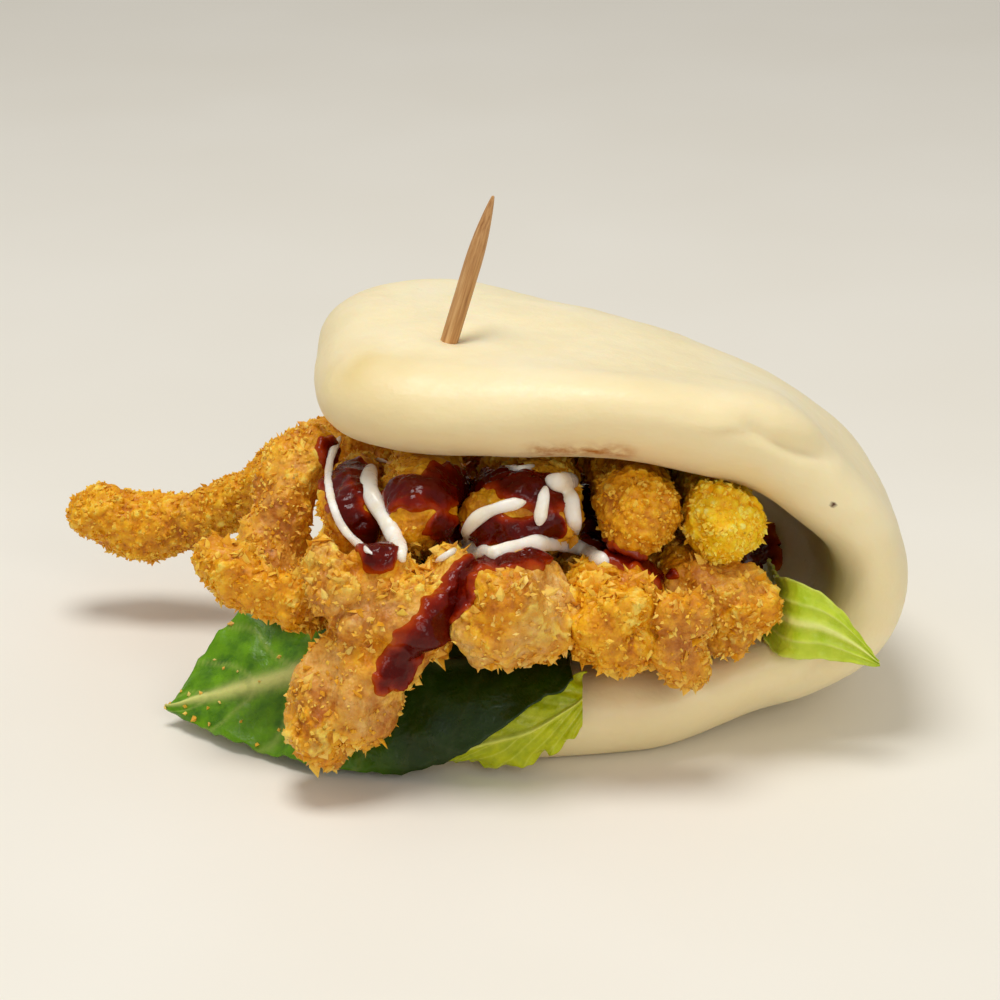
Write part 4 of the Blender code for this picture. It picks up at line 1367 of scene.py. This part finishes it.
def make_leaf(node, form, bun_tree, fried_tree, material, seed):
    """One leaf with ribs, quilted blade and a frilled edge."""
    ruffle, frill, spacing, lift, vein_strength, lengthwise = form
    net, along, across = leaf_net(LEAF_ROWS[node])
    over_bun = (bun_tree, LEAF_GAP + lift)
    for tree, gap in (over_bun, (fried_tree, LEAF_GAP), over_bun):
        net = clear_of(net, tree, gap)
    flat = net.reshape(-1, 3)
    away = np.abs(across)
    edge = smooth_step(away, (0.6, 1.0))
    down_leaf, out_leaf = np.gradient(net, axis=0), np.gradient(net, axis=1)
    normals = of_length_one(np.cross(down_leaf, out_leaf)).reshape(-1, 3)
    outward = of_length_one(out_leaf.reshape(-1, 3) * np.sign(across)[:, None])

    side_vein, vein_distance = leaf_veins(flat, along, across, spacing, lengthwise, seed)
    midrib = bell(away, 0.1 * (1.15 - along / along.max()) + 0.02)
    quilt = np.clip(2.0 * vein_distance, 0.0, 1.0) ** 0.7
    move = 0.3 * quilt * smooth_step(away, (0.03, 0.2)) * (1.0 - 0.5 * edge)
    move += ruffle * soft_noise(flat, 4.0, seed + 5) * (0.4 + 0.6 * edge)
    move += frill * edge * 0.8 * soft_noise(flat, 1.8, seed + 6)
    move += 0.35 * midrib + 0.08 * soft_noise(flat, 0.9, seed + 9)
    tooth = frill * edge**3 * layered(flat, (0.7, 1.5, seed + 15), (0.5, 3.5, seed + 16))
    flat = flat + outward * tooth[:, None] + normals * move[:, None]

    thick = LEAF_HALF_THICKNESS * (1.0 + 1.6 * midrib + 0.5 * side_vein) * (1.0 - 0.45 * edge)
    body = normals * thick[:, None]
    points = np.concatenate([flat + body, flat - body])
    points[:, 2] = np.maximum(points[:, 2], LEAF_FLOOR)
    leaf = thing_of("salad_" + node, points, sheet_faces(*net.shape[:2]), material)
    vein = np.clip(midrib + vein_strength * side_vein, 0.0, 1.0)
    pale = np.clip(0.5 * edge + 0.4 * soft_noise(flat, 6.0, seed + 20), 0.0, 1.0)
    # Painted shade: the dark leaf darkens from about a third of its length on, where it runs in
    # under the fried pieces and the bun.
    painted_shade = smooth_step(along / along.max(), (0.3, 0.6)) * (node == "leaf_dark")
    set_colours(leaf.data, "leaf", [np.tile(channel, 2) for channel in (vein, pale, painted_shade)])
    return keep(leaf, frame_slot(node), node)


def make_leaves(bun, fried):
    dark = leaf_material("leaf_dark", (50, 98, 0), (108, 160, 0), (216, 218, 128))
    frilly = leaf_material("leaf_frilly", (146, 160, 2), (196, 200, 18), (218, 220, 96))
    pale = leaf_material("leaf_pale", (170, 196, 24), (204, 218, 62), (228, 232, 132))
    looks = {"leaf_dark": dark, "leaf_frill": frilly, "leaf_back": dark, "leaf_light": pale}
    bun_tree, fried_tree = plan_tree(bun), plan_tree(*fried)
    return {
        node: make_leaf(node, form, bun_tree, fried_tree, looks[node], seed * 3)
        for seed, (node, form) in enumerate(LEAF_FORMS.items(), start=200)
    }


# ---------------------------------------------------------------- stage

FLOOR_HALF = 1200.0
FLOOR_Z = -0.05
LENS = 143.104
SUBJECT = Vector((0.0, -10.0, 23.0))
# Each lamp: its place, what it is aimed at, its width and its power in watts.
LAMPS = {
    "key": (Vector((-60.0, -40.0, 460.0)), Vector((0.0, -10.0, 15.0)), 220.0, 1.2),
    "front": (Vector((160.0, -460.0, 240.0)), Vector((0.0, -10.0, 20.0)), 260.0, 0.5),
}
WORLD_COLOUR = (1.0, 0.985, 0.96, 1.0)
WORLD_STRENGTH = 0.42


def make_floor():
    corners = ((-1, -1), (1, -1), (1, 1), (-1, 1))
    points = [(x * FLOOR_HALF, y * FLOOR_HALF, FLOOR_Z) for x, y in corners]
    floor = thing_of("floor", points, [(0, 1, 2, 3)], floor_material())


def place_aimed(name, data, place, aim):
    """Puts a lamp or a camera at a plan place, looking at another."""
    thing = bpy.data.objects.new(name, data)
    thing.location = (np.array(place) + SHIFT) * MM
    thing.rotation_euler = (aim - place).to_track_quat("-Z", "Y").to_euler()
    bpy.context.scene.collection.objects.link(thing)
    return thing


def make_lights():
    for name, (place, aim, width, power) in LAMPS.items():
        light = bpy.data.lights.new(name, "AREA")
        light.shape = "DISK"
        light.size = width * MM
        light.energy = power
        place_aimed(name, light, place, aim)
    world = bpy.data.worlds.new("studio")
    world.use_nodes = True
    background = world.node_tree.nodes["Background"]
    background.inputs["Color"].default_value = WORLD_COLOUR
    background.inputs["Strength"].default_value = WORLD_STRENGTH
    bpy.context.scene.world = world


def make_camera():
    data = bpy.data.cameras.new("view")
    data.lens = LENS
    data.clip_start = 0.01
    data.clip_end = 10.0
    bpy.context.scene.camera = place_aimed("view", data, EYE, SUBJECT)
    bpy.context.scene.view_settings.view_transform = "Standard"


def main():
    make_camera()
    make_floor()
    make_lights()
    bun = make_bun()
    make_pick()
    fried, bases = make_fried()
    blocked = plan_tree(bun, *fried)
    masks = sauce_masks(bases, fried)
    sauce = make_sauce(bases, masks, bun)
    make_mayo([*fried, sauce, bun])
    leaves = make_leaves(bun, fried)
    make_crumbs(bases, masks, blocked, leaves["leaf_dark"])


main()
